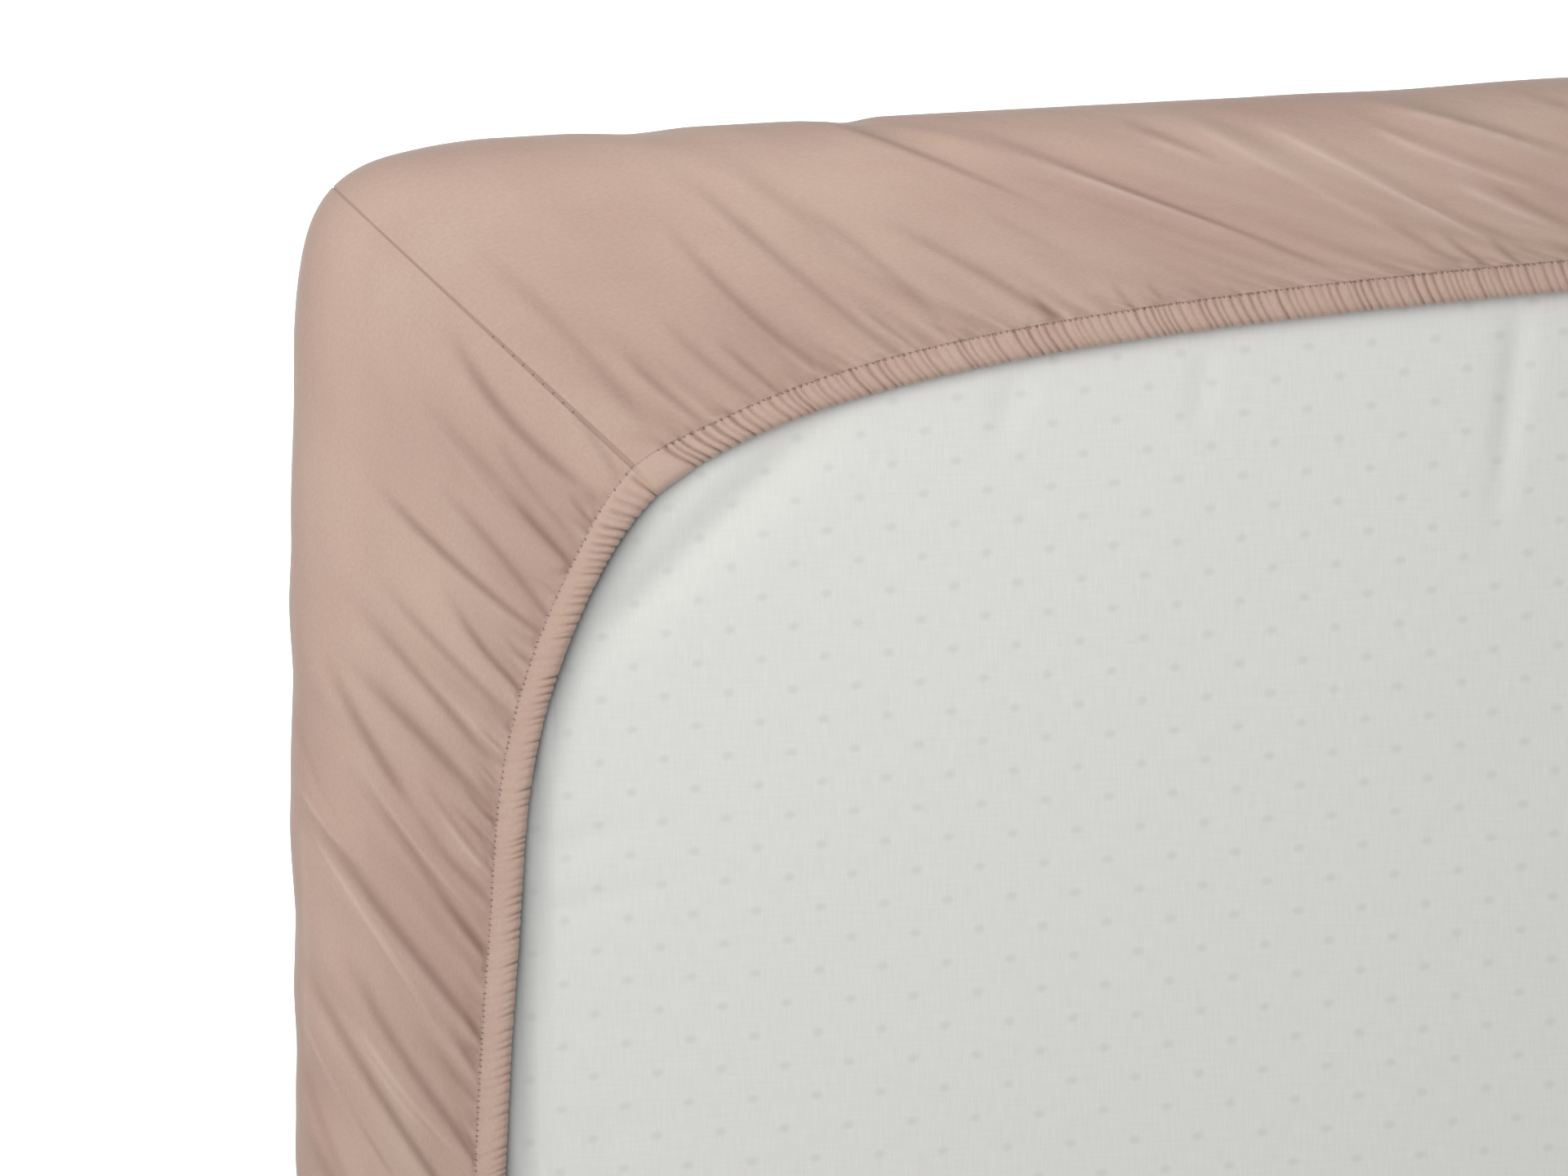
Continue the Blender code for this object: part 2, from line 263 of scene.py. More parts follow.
# %% Folds of the rest
# How far apart things are, up to each distance from a corner's seam.
Spacing = namedtuple("Spacing", "reach step")
TO_MIDDLE = 1.0  # further than any half side is long
PLAIN_SPACING = (Spacing(0.080, 0.021), Spacing(0.240, 0.044), Spacing(TO_MIDDLE, 0.086))
PLAIN_UNEVEN = 0.22
PLAIN_FOLD_WIDTH = 0.6  # half a fold's width, as a share of its spacing
PLAIN_FOLD_HEIGHT = (0.0020, 0.0044)
PLAIN_FOLD_BEGINS = (-0.04, 0.15)
FOLD_SEED = 7

# %% Draw the folds of all eight half sides
Half = namedtuple("Half", "corner side folds")


def spaced_places(start, end, spacings, uneven, rng):
    """Places after start and before end, as far apart as the spacings say."""
    places = []
    place = start
    while True:
        step = next(spacing.step for spacing in spacings if place <= spacing.reach)
        place += step * (1 + rng.uniform(-uneven, uneven))
        if place > end - step / 2:
            return places
        places.append(place)


def hem_length(side):
    """From a corner's seam to the middle of the side, along the hem."""
    return SIDES[side].half_length - HEM_IN_CORNER


def folds_of(corner, side, rng):
    """The folds of one half side: the corner's own, then plain ones on to its middle."""
    folds = []
    if corner.shown:
        folds = [fold._replace(height=fold.height * CORNER_CALM) for fold in CORNER_FOLDS[side]]
    start = folds[-1].at if folds else 0.0
    end = hem_length(side)
    crests = spaced_places(start, end, PLAIN_SPACING, PLAIN_UNEVEN, rng)
    for before, crest, after in zip([start] + crests, crests, crests[1:] + [end]):
        half_width = PLAIN_FOLD_WIDTH * (after - before) / 2
        height = rng.uniform(*PLAIN_FOLD_HEIGHT)
        begins = rng.uniform(*PLAIN_FOLD_BEGINS)
        folds.append(Fold(crest, half_width, height, begins, 0.0))
    return folds


rng = random.Random(FOLD_SEED)
halves = []
for corner in CORNERS:
    for side in (corner.back, corner.onward):
        halves.append(Half(corner, side, folds_of(corner, side, rng)))
print("folds in each half side:", [len(half.folds) for half in halves])


# %% How high the folds lift the cloth
def fold_lift(folds, place, share):
    """The lift at each place along the hem and share of the way from the edge to the hem."""
    lift = 0.0 * place * share
    for fold in folds:
        crest = fold.at + fold.strays * (1 - share)
        off = np.clip(np.abs(place - crest) / fold.half_width, 0.0, 1.0)
        rise = ease((share - fold.begins) / FOLD_RISE)
        lift = lift + fold.height * rise * (0.5 + 0.5 * np.cos(np.pi * off))
    return lift * (1 - HEM_HOLD * ease((share - HOLD_BEGINS) / (1 - HOLD_BEGINS)))


# %% [markdown]
# ## Gathers
#
# Between the main folds the elastic draws the cloth into many small ones. Short ones start at
# the stitches and soon die away, and fainter ones run on over the band and widen. There are far
# too many to place by hand, and the eye only asks that no two are alike, so they are drawn by
# chance.

# %% What the view shows of the hem
SHOWN_REACH = {"long": 0.300, "short": 0.225}  # from its seam, on the corner that we look at


def shown_reach(half):
    """How far from its seam the view shows a half side's hem."""
    return SHOWN_REACH[half.side] if half.corner.shown else 0.0


# %% Puckers of the casing
# The values under True are for what the view shows, and those under False for the rest.
Pucker = namedtuple("Pucker", "at depth")
PUCKER_STARTS = {"long": 0.0058, "short": -0.0016}  # the casing is smooth up to here
PUCKER_SPACING = {True: 0.0025, False: 0.0060}
PUCKER_UNEVEN = 0.36
PUCKER_DEPTH = (0.0003, 0.0013)
CORNER_PUCKERS = 0.6  # how much deeper they are beside a corner's seam
CORNER_PUCKERS_REACH = 0.06
PUCKER_WIDTH = {True: 0.00035, False: 0.0011}
GATHER_SEED = 41


def puckers_of(half, rng):
    """Valleys across the casing of a half side, from its seam on."""
    near = Spacing(shown_reach(half), PUCKER_SPACING[True])
    spacings = (near, Spacing(TO_MIDDLE, PUCKER_SPACING[False]))
    start = PUCKER_STARTS[half.side] if half.corner.shown else 0.0
    row = []
    for place in spaced_places(start, hem_length(half.side), spacings, PUCKER_UNEVEN, rng):
        deeper = 1 + CORNER_PUCKERS * math.exp(-place / CORNER_PUCKERS_REACH)
        row.append(Pucker(place, rng.uniform(*PUCKER_DEPTH) * deeper))
    return row


gather_rng = random.Random(GATHER_SEED)
puckers = [puckers_of(half, gather_rng) for half in halves]
print("puckers in the casing:", sum(len(row) for row in puckers))


def pucker_depth(index, place):
    """The depth of the nearest pucker at each place: a sharp valley between round crowns."""
    row = puckers[index]
    seen = place < shown_reach(halves[index])
    width = np.where(seen, PUCKER_WIDTH[True], PUCKER_WIDTH[False])
    at = np.array([pucker.at for pucker in row])
    depth = np.array([pucker.depth for pucker in row])
    after = np.clip(np.searchsorted(at, place), 1, len(at) - 1)
    nearest = np.where(place - at[after - 1] < at[after] - place, after - 1, after)
    return depth[nearest] * np.exp(-np.abs(place - at[nearest]) / width)


# %% Small gathers of the band
# Each value is drawn between the two given. At `reach` from the hem a gather has died, and
# has strayed sideways by `strays`.
Gather = namedtuple("Gather", "at half_width depth reach strays")
GatherKind = namedtuple("GatherKind", "spacing half_width depth reach strays")
GATHER_KINDS = (
    GatherKind(0.0048, (0.0007, 0.0015), (0.0001, 0.0007), (0.006, 0.022), 0.006),
    GatherKind(0.0090, (0.0018, 0.0042), (0.0002, 0.0007), (0.030, 0.085), 0.012),
)
GATHER_STARTS = 0.002
GATHER_UNEVEN = 0.3
OUT_OF_VIEW = 0.1  # how far past the view the gathers go on


def gathers_of(half, rng):
    """Small dents of the band, short ones beside the hem and faint long ones over the band."""
    row = []
    if half.corner.shown:
        end = SHOWN_REACH[half.side] + OUT_OF_VIEW
        for kind in GATHER_KINDS:
            spacings = (Spacing(TO_MIDDLE, kind.spacing),)
            for place in spaced_places(GATHER_STARTS, end, spacings, GATHER_UNEVEN, rng):
                half_width = rng.uniform(*kind.half_width)
                depth = rng.uniform(*kind.depth)
                reach = rng.uniform(*kind.reach)
                strays = rng.uniform(-kind.strays, kind.strays)
                row.append(Gather(place, half_width, depth, reach, strays))
    return row


gathers = [gathers_of(half, gather_rng) for half in halves]
print("gathers in the band:", sum(len(row) for row in gathers))

# %% How deep the gathers dent the band
PUCKER_ON_BAND = 0.45  # share of its depth that a pucker has at the stitches
PUCKER_DIES = 0.0025
PUCKER_VIEW_FADE = 0.02  # near the limit of the view, the puckers leave the band over this


def gather_lift(index, place, before_hem):
    """The small dents of a half side's band, this far before the stitches."""
    lift = 0.0 * place * before_hem
    if halves[index].corner.shown:
        in_view = ease((shown_reach(halves[index]) - place) / PUCKER_VIEW_FADE)
        shown_depth = PUCKER_ON_BAND * in_view * pucker_depth(index, place)
        lift = lift - shown_depth * np.exp(-before_hem / PUCKER_DIES)
    for gather in gathers[index]:
        valley = gather.at + gather.strays * before_hem / gather.reach
        off = (place - valley) / (gather.half_width * (1 + before_hem / gather.reach))
        lift = lift - gather.depth * ease(1 - before_hem / gather.reach) * np.exp(-off**2)
    return lift


# %% [markdown]
# ## The cloth as a grid
#
# The whole sheet is one grid of points: columns go round the mattress, rows go from under it,
# up its side, over the edge and across the band to the stitches. A grid is easy to displace,
# because each point knows its neighbours. The columns are close where the camera looks and
# further apart elsewhere, and a few stand very close at the seam, for its groove.

# %% Columns of the sheet
SEAM_PLACES = (0.0, 0.00012, 0.00024, 0.0004, 0.0008)
SHEET_SPACING = {
    ("long", True): (Spacing(0.120, 0.0008), Spacing(0.435, 0.0012), Spacing(TO_MIDDLE, 0.024)),
    ("short", True): (Spacing(0.120, 0.0008), Spacing(0.300, 0.0012), Spacing(TO_MIDDLE, 0.024)),
    "elsewhere": (Spacing(0.080, 0.008), Spacing(TO_MIDDLE, 0.024)),
}


def column_places(half, spacings):
    """Places of columns along a half side's hem."""
    end = hem_length(half.side)
    between = spaced_places(SEAM_PLACES[-1], end, spacings, 0.0, rng)
    return np.array([*SEAM_PLACES, *between, end])


sheet_places = []
for half in halves:
    spacings = SHEET_SPACING.get((half.side, half.corner.shown), SHEET_SPACING["elsewhere"])
    sheet_places.append(column_places(half, spacings))
print("columns in each half side:", [len(place) for place in sheet_places])

# %% Rows of the sheet
# Angles round the edge, shares of the climb up the side, and shares of the way to the stitches.
UNDER_TURN = np.radians(np.linspace(90, 0, 5))[:, None]
WALL_CLIMB = np.linspace(0, 1, 7)[1:-1, None]
OVER_TURN = np.radians(np.linspace(0, 90, 14))[:, None]
BAND_PARTS = np.concatenate([
    np.linspace(0, 0.95, 66)[1:], [0.96, 0.97, 0.98, 0.99, 1.0],
])[:, None]


def edge_crossing(half, place):
    """Where columns cross the edge, and how far they slip along it while they turn over."""
    hem_along = HEM_IN_CORNER + place
    lean = SIDES[half.side].lean
    shift = np.interp(hem_along, [row.hem for row in lean], [row.shift for row in lean])
    edge_along = np.maximum(hem_along - shift, SEAM_OUTLINE + place / 2)
    return edge_along, shift * (1 - np.exp(-place / SEAM_HOLD)) * ROUNDING_LEAN


def side_rows(half, place, edge_along, swell):
    """Rows from under the mattress up its side."""
    radius = SHEET_EDGE_RADIUS
    inset = radius - radius * np.cos(UNDER_TURN)
    height = radius - radius * np.sin(UNDER_TURN)
    under = to_world(half, *inset_plan(edge_along, inset), height)
    lift = (fold_lift(half.folds, place, 0.0) + swell) * WALL_CLIMB
    height = radius + (SHEET_TOP - 2 * radius) * WALL_CLIMB
    return under, to_world(half, *inset_plan(edge_along, -lift), height)


def over_rows(half, place, edge_along, slip, swell):
    """Rows over the rounded edge."""
    radius = SHEET_EDGE_RADIUS
    reach = radius + fold_lift(half.folds, place, np.sin(OVER_TURN / 2) ** 2)
    reach = reach + swell * np.cos(OVER_TURN) ** 2
    over_along = edge_along + slip * OVER_TURN / (np.pi / 2)
    height = SHEET_TOP - radius + reach * np.sin(OVER_TURN)
    return to_world(half, *inset_plan(over_along, radius - reach * np.cos(OVER_TURN)), height)


def band_rows(index, place, edge_along, slip):
    """Rows over the band to the stitches, and how deep their dents are."""
    half = halves[index]
    edge = inset_plan(edge_along + slip, SHEET_EDGE_RADIUS)
    stitches = hem_plan(half, HEM_IN_CORNER + place, CASING_WIDTH)
    plan = [start + (end - start) * BAND_PARTS for start, end in zip(edge, stitches)]
    before_hem = np.hypot(*[end - start for start, end in zip(edge, stitches)]) * (1 - BAND_PARTS)
    rest = MATTRESS_TOP + FACE_GAP + (EDGE_GAP - FACE_GAP) * (1 - ease(BAND_PARTS)) + CLOTH
    lift = fold_lift(half.folds, place, 0.5 + 0.5 * BAND_PARTS)
    dents = gather_lift(index, place, before_hem)
    return to_world(half, *plan, rest + lift + dents), -dents


# %% Put the sheet's grid together
def sheet_section(index, place):
    """Rows of the cloth, the depth of their painted shade, and where the columns cross the edge.
    """
    half = halves[index]
    edge_along, slip = edge_crossing(half, place)
    swell = swelling(OUTLINE_SWELLS, half, edge_along)
    under, wall = side_rows(half, place, edge_along, swell)
    over = over_rows(half, place, edge_along, slip, swell)
    band, hollow = band_rows(index, place, edge_along, slip)
    rows = np.concatenate([under, wall, over, band])
    plain = np.zeros((len(rows) - len(hollow), len(place)))
    return rows, np.concatenate([plain, hollow]), edge_along


def go_round(grids):
    """Grids of the eight half sides as one ring. Neighbours share a column."""
    parts = []
    for back, onward in zip(grids[0::2], grids[1::2]):
        parts += [back[:, :0:-1], onward[:, :-1]]
    return np.concatenate(parts, axis=1)


sections = [sheet_section(index, place) for index, place in enumerate(sheet_places)]
sheet_ring = go_round([rows for rows, hollow, edge_along in sections])
sheet_shade_depth = go_round([hollow for rows, hollow, edge_along in sections])
ring_places = go_round([place[None] for place in sheet_places])[0]
ring_threads = go_round([edge_along[None] for rows, hollow, edge_along in sections])[0]
print("the sheet's grid:", sheet_ring.shape)

# %% [markdown]
# ## Creases by hand
#
# On the real sheet most of what we see between the hem and the edge are pleats: the cloth
# rises slowly to a crest and drops on the other side. The light comes from the left, so the
# drop is the dark line and the slope before it the light one. Each row of these tables is one
# such drop, through three points in millimetres from the square corner: across, and down. It
# drops by about three times `height`, most of it within `half_width` on both sides of its line.
# `comes_up` is the share of its length over which it grows, and `fades` the share over which it
# dies. The last table is of narrow ridges, which catch the light.

# %% Tables of the creases of the corner that we look at
Crease = namedtuple("Crease", "begins middle ends height half_width comes_up fades")
LEFT_CREASES = (
    Crease((44, 52), (64, 85), (93, 111), 0.55, 1.9, 0.40, 0.25),
    Crease((82, 81), (90, 92), (99, 106), 0.22, 1.3, 0.50, 0.10),
    Crease((31, 72), (49, 91), (67, 111), 0.20, 1.8, 0.60, 0.25),
    Crease((60, 104), (71, 117), (85, 133), 0.50, 1.4, 0.50, 0.05),
    Crease((60, 88), (67, 102), (87, 126), 0.26, 1.4, 0.50, 0.05),
    Crease((80, 106), (86, 114), (93, 123), 0.40, 0.9, 0.50, 0.05),
    Crease((19, 99), (45, 127), (75, 153), 0.55, 1.5, 0.40, 0.05),
    Crease((38, 101), (57, 122), (77, 149), 0.40, 1.5, 0.50, 0.05),
    Crease((41, 132), (54, 154), (70, 171), 0.48, 1.3, 0.50, 0.05),
    Crease((58, 147), (65, 156), (73, 163), 0.28, 0.9, 0.50, 0.05),
    Crease((20, 129), (43, 156), (67, 180), 0.40, 1.6, 0.45, 0.10),
    Crease((13, 137), (36, 164), (62, 197), 0.45, 1.7, 0.40, 0.25),
    Crease((51, 177), (57, 183), (66, 192), 0.36, 0.8, 0.50, 0.05),
    Crease((7, 152), (34, 180), (61, 210), 0.55, 1.9, 0.45, 0.10),
    Crease((50, 187), (56, 194), (64, 205), 0.32, 0.8, 0.50, 0.05),
    Crease((46, 195), (53, 204), (62, 213), 0.34, 0.9, 0.50, 0.05),
    Crease((4, 150), (16, 177), (35, 207), 0.58, 1.8, 0.50, 0.25),
    Crease((30, 199), (42, 218), (58, 237), 0.28, 1.5, 0.30, 0.10),
    Crease((8, 185), (30, 215), (56, 254), 0.60, 1.6, 0.55, 0.05),
    Crease((33, 190), (44, 208), (60, 228), 0.34, 1.2, 0.40, 0.05),
    Crease((41, 199), (50, 209), (60, 219), 0.36, 0.9, 0.50, 0.05),
    Crease((-4, 165), (0, 187), (13, 213), 0.22, 1.2, 0.50, 0.40),
    Crease((-5, 198), (23, 236), (55, 279), 0.60, 1.9, 0.35, 0.10),
    Crease((42, 252), (48, 261), (56, 271), 0.24, 1.0, 0.50, 0.05),
    Crease((7, 240), (25, 276), (54, 316), 0.50, 2.0, 0.50, 0.10),
    Crease((35, 271), (43, 286), (54, 300), 0.28, 1.2, 0.50, 0.05),
    Crease((40, 268), (47, 280), (55, 292), 0.28, 1.0, 0.50, 0.05),
    Crease((-5, 247), (18, 288), (45, 330), 0.52, 1.7, 0.20, 0.20),
    Crease((-2, 269), (10, 293), (27, 321), 0.28, 0.8, 0.40, 0.20),
    Crease((-5, 276), (1, 298), (12, 326), 0.32, 1.4, 0.40, 0.30),
    Crease((-5, 296), (12, 330), (40, 370), 0.48, 1.9, 0.30, 0.20),
)
TOP_CREASES = (
    Crease((47, 27), (80, 57), (112, 96), 0.26, 2.4, 0.50, 0.25),
    Crease((97, 63), (109, 75), (127, 90), 0.42, 1.4, 0.50, 0.05),
    Crease((107, 51), (124, 68), (144, 84), 0.28, 1.6, 0.50, 0.05),
    Crease((125, 59), (137, 70), (152, 83), 0.36, 1.2, 0.50, 0.05),
    Crease((109, 21), (138, 54), (169, 77), 0.38, 1.8, 0.40, 0.05),
    Crease((118, 10), (150, 40), (188, 72), 0.36, 1.8, 0.40, 0.05),
    Crease((132, 10), (150, 22), (172, 40), 0.24, 2.4, 0.45, 0.40),
    Crease((149, 19), (172, 35), (199, 60), 0.24, 1.8, 0.45, 0.20),
    Crease((169, 51), (180, 59), (193, 69), 0.32, 1.0, 0.50, 0.05),
    Crease((175, 25), (203, 40), (236, 60), 0.32, 1.6, 0.40, 0.05),
    Crease((205, 22), (221, 31), (241, 41), 0.18, 1.6, 0.45, 0.35),
    Crease((160, -6), (206, 13), (264, 42), 0.38, 1.1, 0.15, 0.50),
    Crease((203, -3), (262, 22), (330, 50), 0.34, 1.1, 0.50, 0.20),
    Crease((250, -4), (268, 4), (292, 14), 0.22, 1.3, 0.45, 0.40),
    Crease((296, -5), (338, 20), (384, 43), 0.22, 1.6, 0.40, 0.20),
    Crease((308, -10), (351, 9), (398, 27), 0.20, 1.6, 0.45, 0.20),
    Crease((328, -9), (363, 2), (402, 15), 0.24, 1.3, 0.50, 0.20),
    Crease((371, -9), (390, -3), (414, 5), 0.20, 1.3, 0.45, 0.20),
    Crease((357, 14), (377, 27), (402, 40), 0.24, 1.6, 0.45, 0.20),
    Crease((348, 33), (356, 39), (367, 47), 0.36, 0.9, 0.50, 0.05),
    Crease((364, 35), (370, 41), (379, 48), 0.32, 0.8, 0.50, 0.05),
    Crease((329, 28), (341, 35), (358, 46), 0.22, 1.4, 0.50, 0.05),
    Crease((248, 46), (253, 52), (260, 60), 0.28, 0.8, 0.50, 0.05),
    Crease((259, 46), (264, 52), (271, 60), 0.28, 0.8, 0.50, 0.05),
    Crease((221, 46), (229, 55), (236, 63), 0.32, 0.9, 0.50, 0.05),
)
RIDGES = (
    Crease((13, 184), (34, 216), (52, 237), 0.22, 0.6, 0.40, 0.20),
    Crease((11, 186), (31, 216), (48, 238), 0.18, 0.5, 0.40, 0.30),
    Crease((36, 193), (44, 209), (54, 223), 0.22, 1.3, 0.50, 0.10),
    Crease((-2, 203), (18, 238), (43, 278), 0.20, 0.5, 0.30, 0.30),
    Crease((14, 230), (26, 249), (40, 272), 0.14, 0.5, 0.40, 0.40),
    Crease((12, 266), (28, 291), (47, 313), 0.24, 0.7, 0.30, 0.30),
    Crease((10, 268), (25, 291), (39, 308), 0.18, 0.5, 0.40, 0.40),
    Crease((-4, 192), (5, 208), (19, 223), 0.20, 0.6, 0.40, 0.40),
    Crease((-4, 265), (5, 284), (21, 311), 0.20, 0.5, 0.40, 0.40),
    Crease((-1, 195), (-2, 250), (-4, 320), 0.14, 0.5, 0.30, 0.30),
    Crease((-4, 120), (-3, 170), (-5, 225), 0.12, 0.5, 0.40, 0.40),
    Crease((40, 84), (52, 100), (66, 118), 0.14, 0.7, 0.40, 0.40),
    Crease((26, 150), (46, 172), (63, 190), 0.14, 0.7, 0.40, 0.20),
    Crease((211, 4), (262, 23), (318, 44), 0.24, 0.9, 0.40, 0.30),
    Crease((205, 14), (232, 25), (258, 40), 0.16, 0.9, 0.40, 0.40),
    Crease((258, 3), (271, 7), (287, 14), 0.12, 1.0, 0.40, 0.40),
    Crease((270, -5), (301, 14), (350, 41), 0.13, 1.2, 0.30, 0.20),
    Crease((291, -3), (330, 18), (370, 40), 0.24, 0.9, 0.30, 0.20),
    Crease((330, 1), (350, 11), (392, 27), 0.20, 1.1, 0.30, 0.30),
    Crease((330, -5), (358, 2), (392, 14), 0.28, 0.9, 0.40, 0.30),
    Crease((353, 18), (370, 27), (392, 36), 0.22, 1.2, 0.30, 0.30),
    Crease((99, 58), (118, 78), (131, 89), 0.14, 0.8, 0.40, 0.20),
    Crease((120, 36), (143, 60), (165, 78), 0.14, 0.8, 0.40, 0.20),
)

# %% How far points lie from a crease
CREASE_SAMPLES = 24
WIDE_BEGINNING = 1.4  # how many times wider a crease begins than it ends


def crease_field(crease, across, down):
    """How far points lie to the upper right of a crease, and its strength beside them.

    The distance is in half widths, and a crease is wider where it begins.
    """
    begins, middle, ends = (np.array(point, float) for point in crease[:3])
    bend = 2 * middle - (begins + ends) / 2
    t = np.linspace(0, 1, CREASE_SAMPLES)[:, None]
    line = begins * (1 - t) ** 2 + 2 * bend * t * (1 - t) + ends * t**2
    nearest = np.full(across.shape, np.inf)
    off = np.zeros(across.shape)
    run = np.zeros(across.shape)
    for step, (here, after) in enumerate(zip(line, line[1:])):
        x, y = after - here
        from_x, from_y = across - here[0], down - here[1]
        share = np.clip((from_x * x + from_y * y) / (x * x + y * y), 0.0, 1.0)
        distance = np.hypot(from_x - share * x, from_y - share * y)
        nearer = distance < nearest
        nearest = np.where(nearer, distance, nearest)
        off = np.where(nearer, distance * np.sign(from_x * y - from_y * x), off)
        run = np.where(nearer, (step + share) / (CREASE_SAMPLES - 1), run)
    half_width = crease.half_width * (WIDE_BEGINNING + (1 - WIDE_BEGINNING) * run)
    return off / half_width, ease(run / crease.comes_up) * ease((1 - run) / crease.fades)


# %% Heights of the creases
# Three shapes across a crease, with places in its half widths. The foot's shape sets painted
# shade.
CREASE_DEPTH = 2.0
PLEAT_TAIL = 3.0  # how far a drop is made up for on both sides
FOOT_AT = 0.3
FOOT_WIDTH = 0.85


def pleat(off):
    """A crest at -1 that drops to a trough at +1, and is made up for beyond both."""
    return -np.tanh(off) * np.exp(-((off / PLEAT_TAIL) ** 2))


def foot(off):
    """Painted shade in the narrow hollow at the foot of a drop."""
    return np.exp(-(((off - FOOT_AT) / FOOT_WIDTH) ** 2))


def ridge(off):
    """A narrow ridge."""
    return np.exp(-(off**2))


def crease_height(rows, profile, across, down):
    """The height that a table of creases gives the cloth, or with foot its painted shade, in
    metres.
    """
    height = np.zeros(across.shape)
    for crease in rows:
        off, strength = crease_field(crease, across, down)
        height += CREASE_DEPTH * crease.height * MM * strength * profile(off)
    return height


print("creases by hand:", len(LEFT_CREASES + TOP_CREASES), "and ridges:", len(RIDGES))

# %% [markdown]
# ## Creasing the grid
#
# The creases push the cloth along its own normal, so on the rounded edge they dent it
# sideways, as real folds do. The normals come from the differences between neighbouring
# points of the ring. The push dies away at the stitches, which hold the cloth down, and down
# the side of the mattress, where the cloth is pulled flat.
#
# Little light gets into a narrow fold, and a render with few bounces makes that weaker than it
# is. So each point also keeps how deep in a fold it lies, as an attribute of the mesh, and the
# cotton's material paints shade there. On a ridge the value is less than nothing, and the
# cotton gets a painted highlight.

# %% Normals of a grid, and its places in the picture
LOOKED_AT = (430, 400)  # how far across and down the corner's creases reach, in millimetres


def ring_normals(ring):
    """Outward normals of a grid whose columns go round."""
    onward = np.roll(ring, -2, axis=1) - np.roll(ring, 2, axis=1)
    inward = np.gradient(ring, axis=0)
    normals = np.cross(onward, inward)
    return normals / np.linalg.norm(normals, axis=-1, keepdims=True)


def in_picture(ring):
    """Which points lie in the corner that we look at, and all their places.

    The places are in millimetres across and down from the square corner.
    """
    across, down = (ring[..., 0] + HALF_LENGTH) / MM, (HALF_WIDTH - ring[..., 1]) / MM
    return (across < LOOKED_AT[0]) & (down < LOOKED_AT[1]), across, down


# %% Push the grid along its normals
CREASE_WALL_FADE = (0.100, 0.150)  # heights between which the creases come up on the side
STITCH_HOLD = 0.03  # share of the band over which the stitches hold the cloth down
SEAM_GROOVE = 0.0005
SEAM_GROOVE_WIDTH = 0.00017
SEAM_SHADE = 2.1  # painted shade in the groove, this many times its depth, as the cloth folds back inside it

low, high = CREASE_WALL_FADE
looked_at, across, down = in_picture(sheet_ring)
looked_at &= sheet_ring[..., 2] > low
seen_places = across[looked_at], down[looked_at]
ridges = crease_height(RIDGES, ridge, *seen_places)
push = np.zeros(across.shape)
push[looked_at] = crease_height(LEFT_CREASES + TOP_CREASES, pleat, *seen_places) + ridges
# Painted shade at the foot of each drop, and a painted highlight on each ridge.
sheet_shade_depth[looked_at] += crease_height(LEFT_CREASES + TOP_CREASES, foot, *seen_places) - ridges
push *= ease((sheet_ring[..., 2] - low) / (high - low))
push[-len(BAND_PARTS):] *= ease((1 - BAND_PARTS) / STITCH_HOLD)
seam_groove = SEAM_GROOVE * np.exp(-((ring_places / SEAM_GROOVE_WIDTH) ** 2))
sheet_ring = sheet_ring + (push - seam_groove)[..., None] * ring_normals(sheet_ring)
# Painted shade along the seam's groove.
sheet_shade_depth += SEAM_SHADE * seam_groove
print(f"the creases move the cloth by up to {np.abs(push).max() / MM:.1f} mm")

# %% [markdown]
# ## From grids to meshes
#
# Blender wants a list of points and a list of faces. The points are the grid's own, and each
# face takes four neighbours. The last column joins the first, which closes the ring. The UV map
# is measured along the cloth, in metres, so a weave drawn on it keeps its size in every fold.

# %% Make a mesh from a ring
def ring_mesh(name, ring, tube=False, closed_start=False, closed_end=False):
    """A mesh of a grid whose columns go round: a tube, or a wall that its ends may close."""
    rows, columns = ring.shape[:2]
    index = np.arange(rows * columns).reshape(rows, columns)
    if tube:
        index = np.concatenate([index, index[:1]])
    after = np.roll(index, -1, axis=1)
    quads = np.stack([index[:-1], after[:-1], after[1:], index[1:]], axis=-1)
    faces = quads.reshape(-1, 4).tolist()
    if closed_start:
        faces.append(index[0, ::-1].tolist())
    if closed_end:
        faces.append(index[-1].tolist())
    mesh = bpy.data.meshes.new(name)
    mesh.from_pydata(ring.reshape(-1, 3).tolist(), [], faces)
    return new_object(mesh)


def new_object(mesh):
    """An object for a mesh, in the scene and shaded smooth."""
    mesh.shade_smooth()
    made = bpy.data.objects.new(mesh.name, mesh)
    bpy.context.scene.collection.objects.link(made)
    triangles = sum(len(face.vertices) - 2 for face in mesh.polygons)
    print(f"{mesh.name}: {triangles} triangles")
    return made


# %% What a mesh of cloth carries
def map_cloth(made, ring, threads):
    """A UV map in metres of cloth: thread by thread round the ring, and along each thread."""
    steps = np.linalg.norm(np.diff(ring, axis=0), axis=-1)
    run = np.concatenate([np.zeros((1, ring.shape[1])), np.cumsum(steps, axis=0)])
    points = np.stack(np.broadcast_arrays(threads, run), axis=-1).reshape(-1, 2)
    corners = np.empty(len(made.data.loops), dtype=np.int32)
    made.data.loops.foreach_get("vertex_index", corners)
    layer = made.data.uv_layers.new(name="cloth")
    layer.data.foreach_set("uv", points[corners].ravel().astype(np.float32))


def keep_painted_shade(made, hollow):
    """An attribute of painted shade: how deep in a fold or trough each point lies, in metres."""
    layer = made.data.attributes.new("painted_shade_depth", "FLOAT", "POINT")
    layer.data.foreach_set("value", hollow.ravel().astype(np.float32))


sheet = ring_mesh("fitted_sheet_cloth", sheet_ring, closed_start=True)
map_cloth(sheet, sheet_ring, ring_threads)
keep_painted_shade(sheet, sheet_shade_depth)

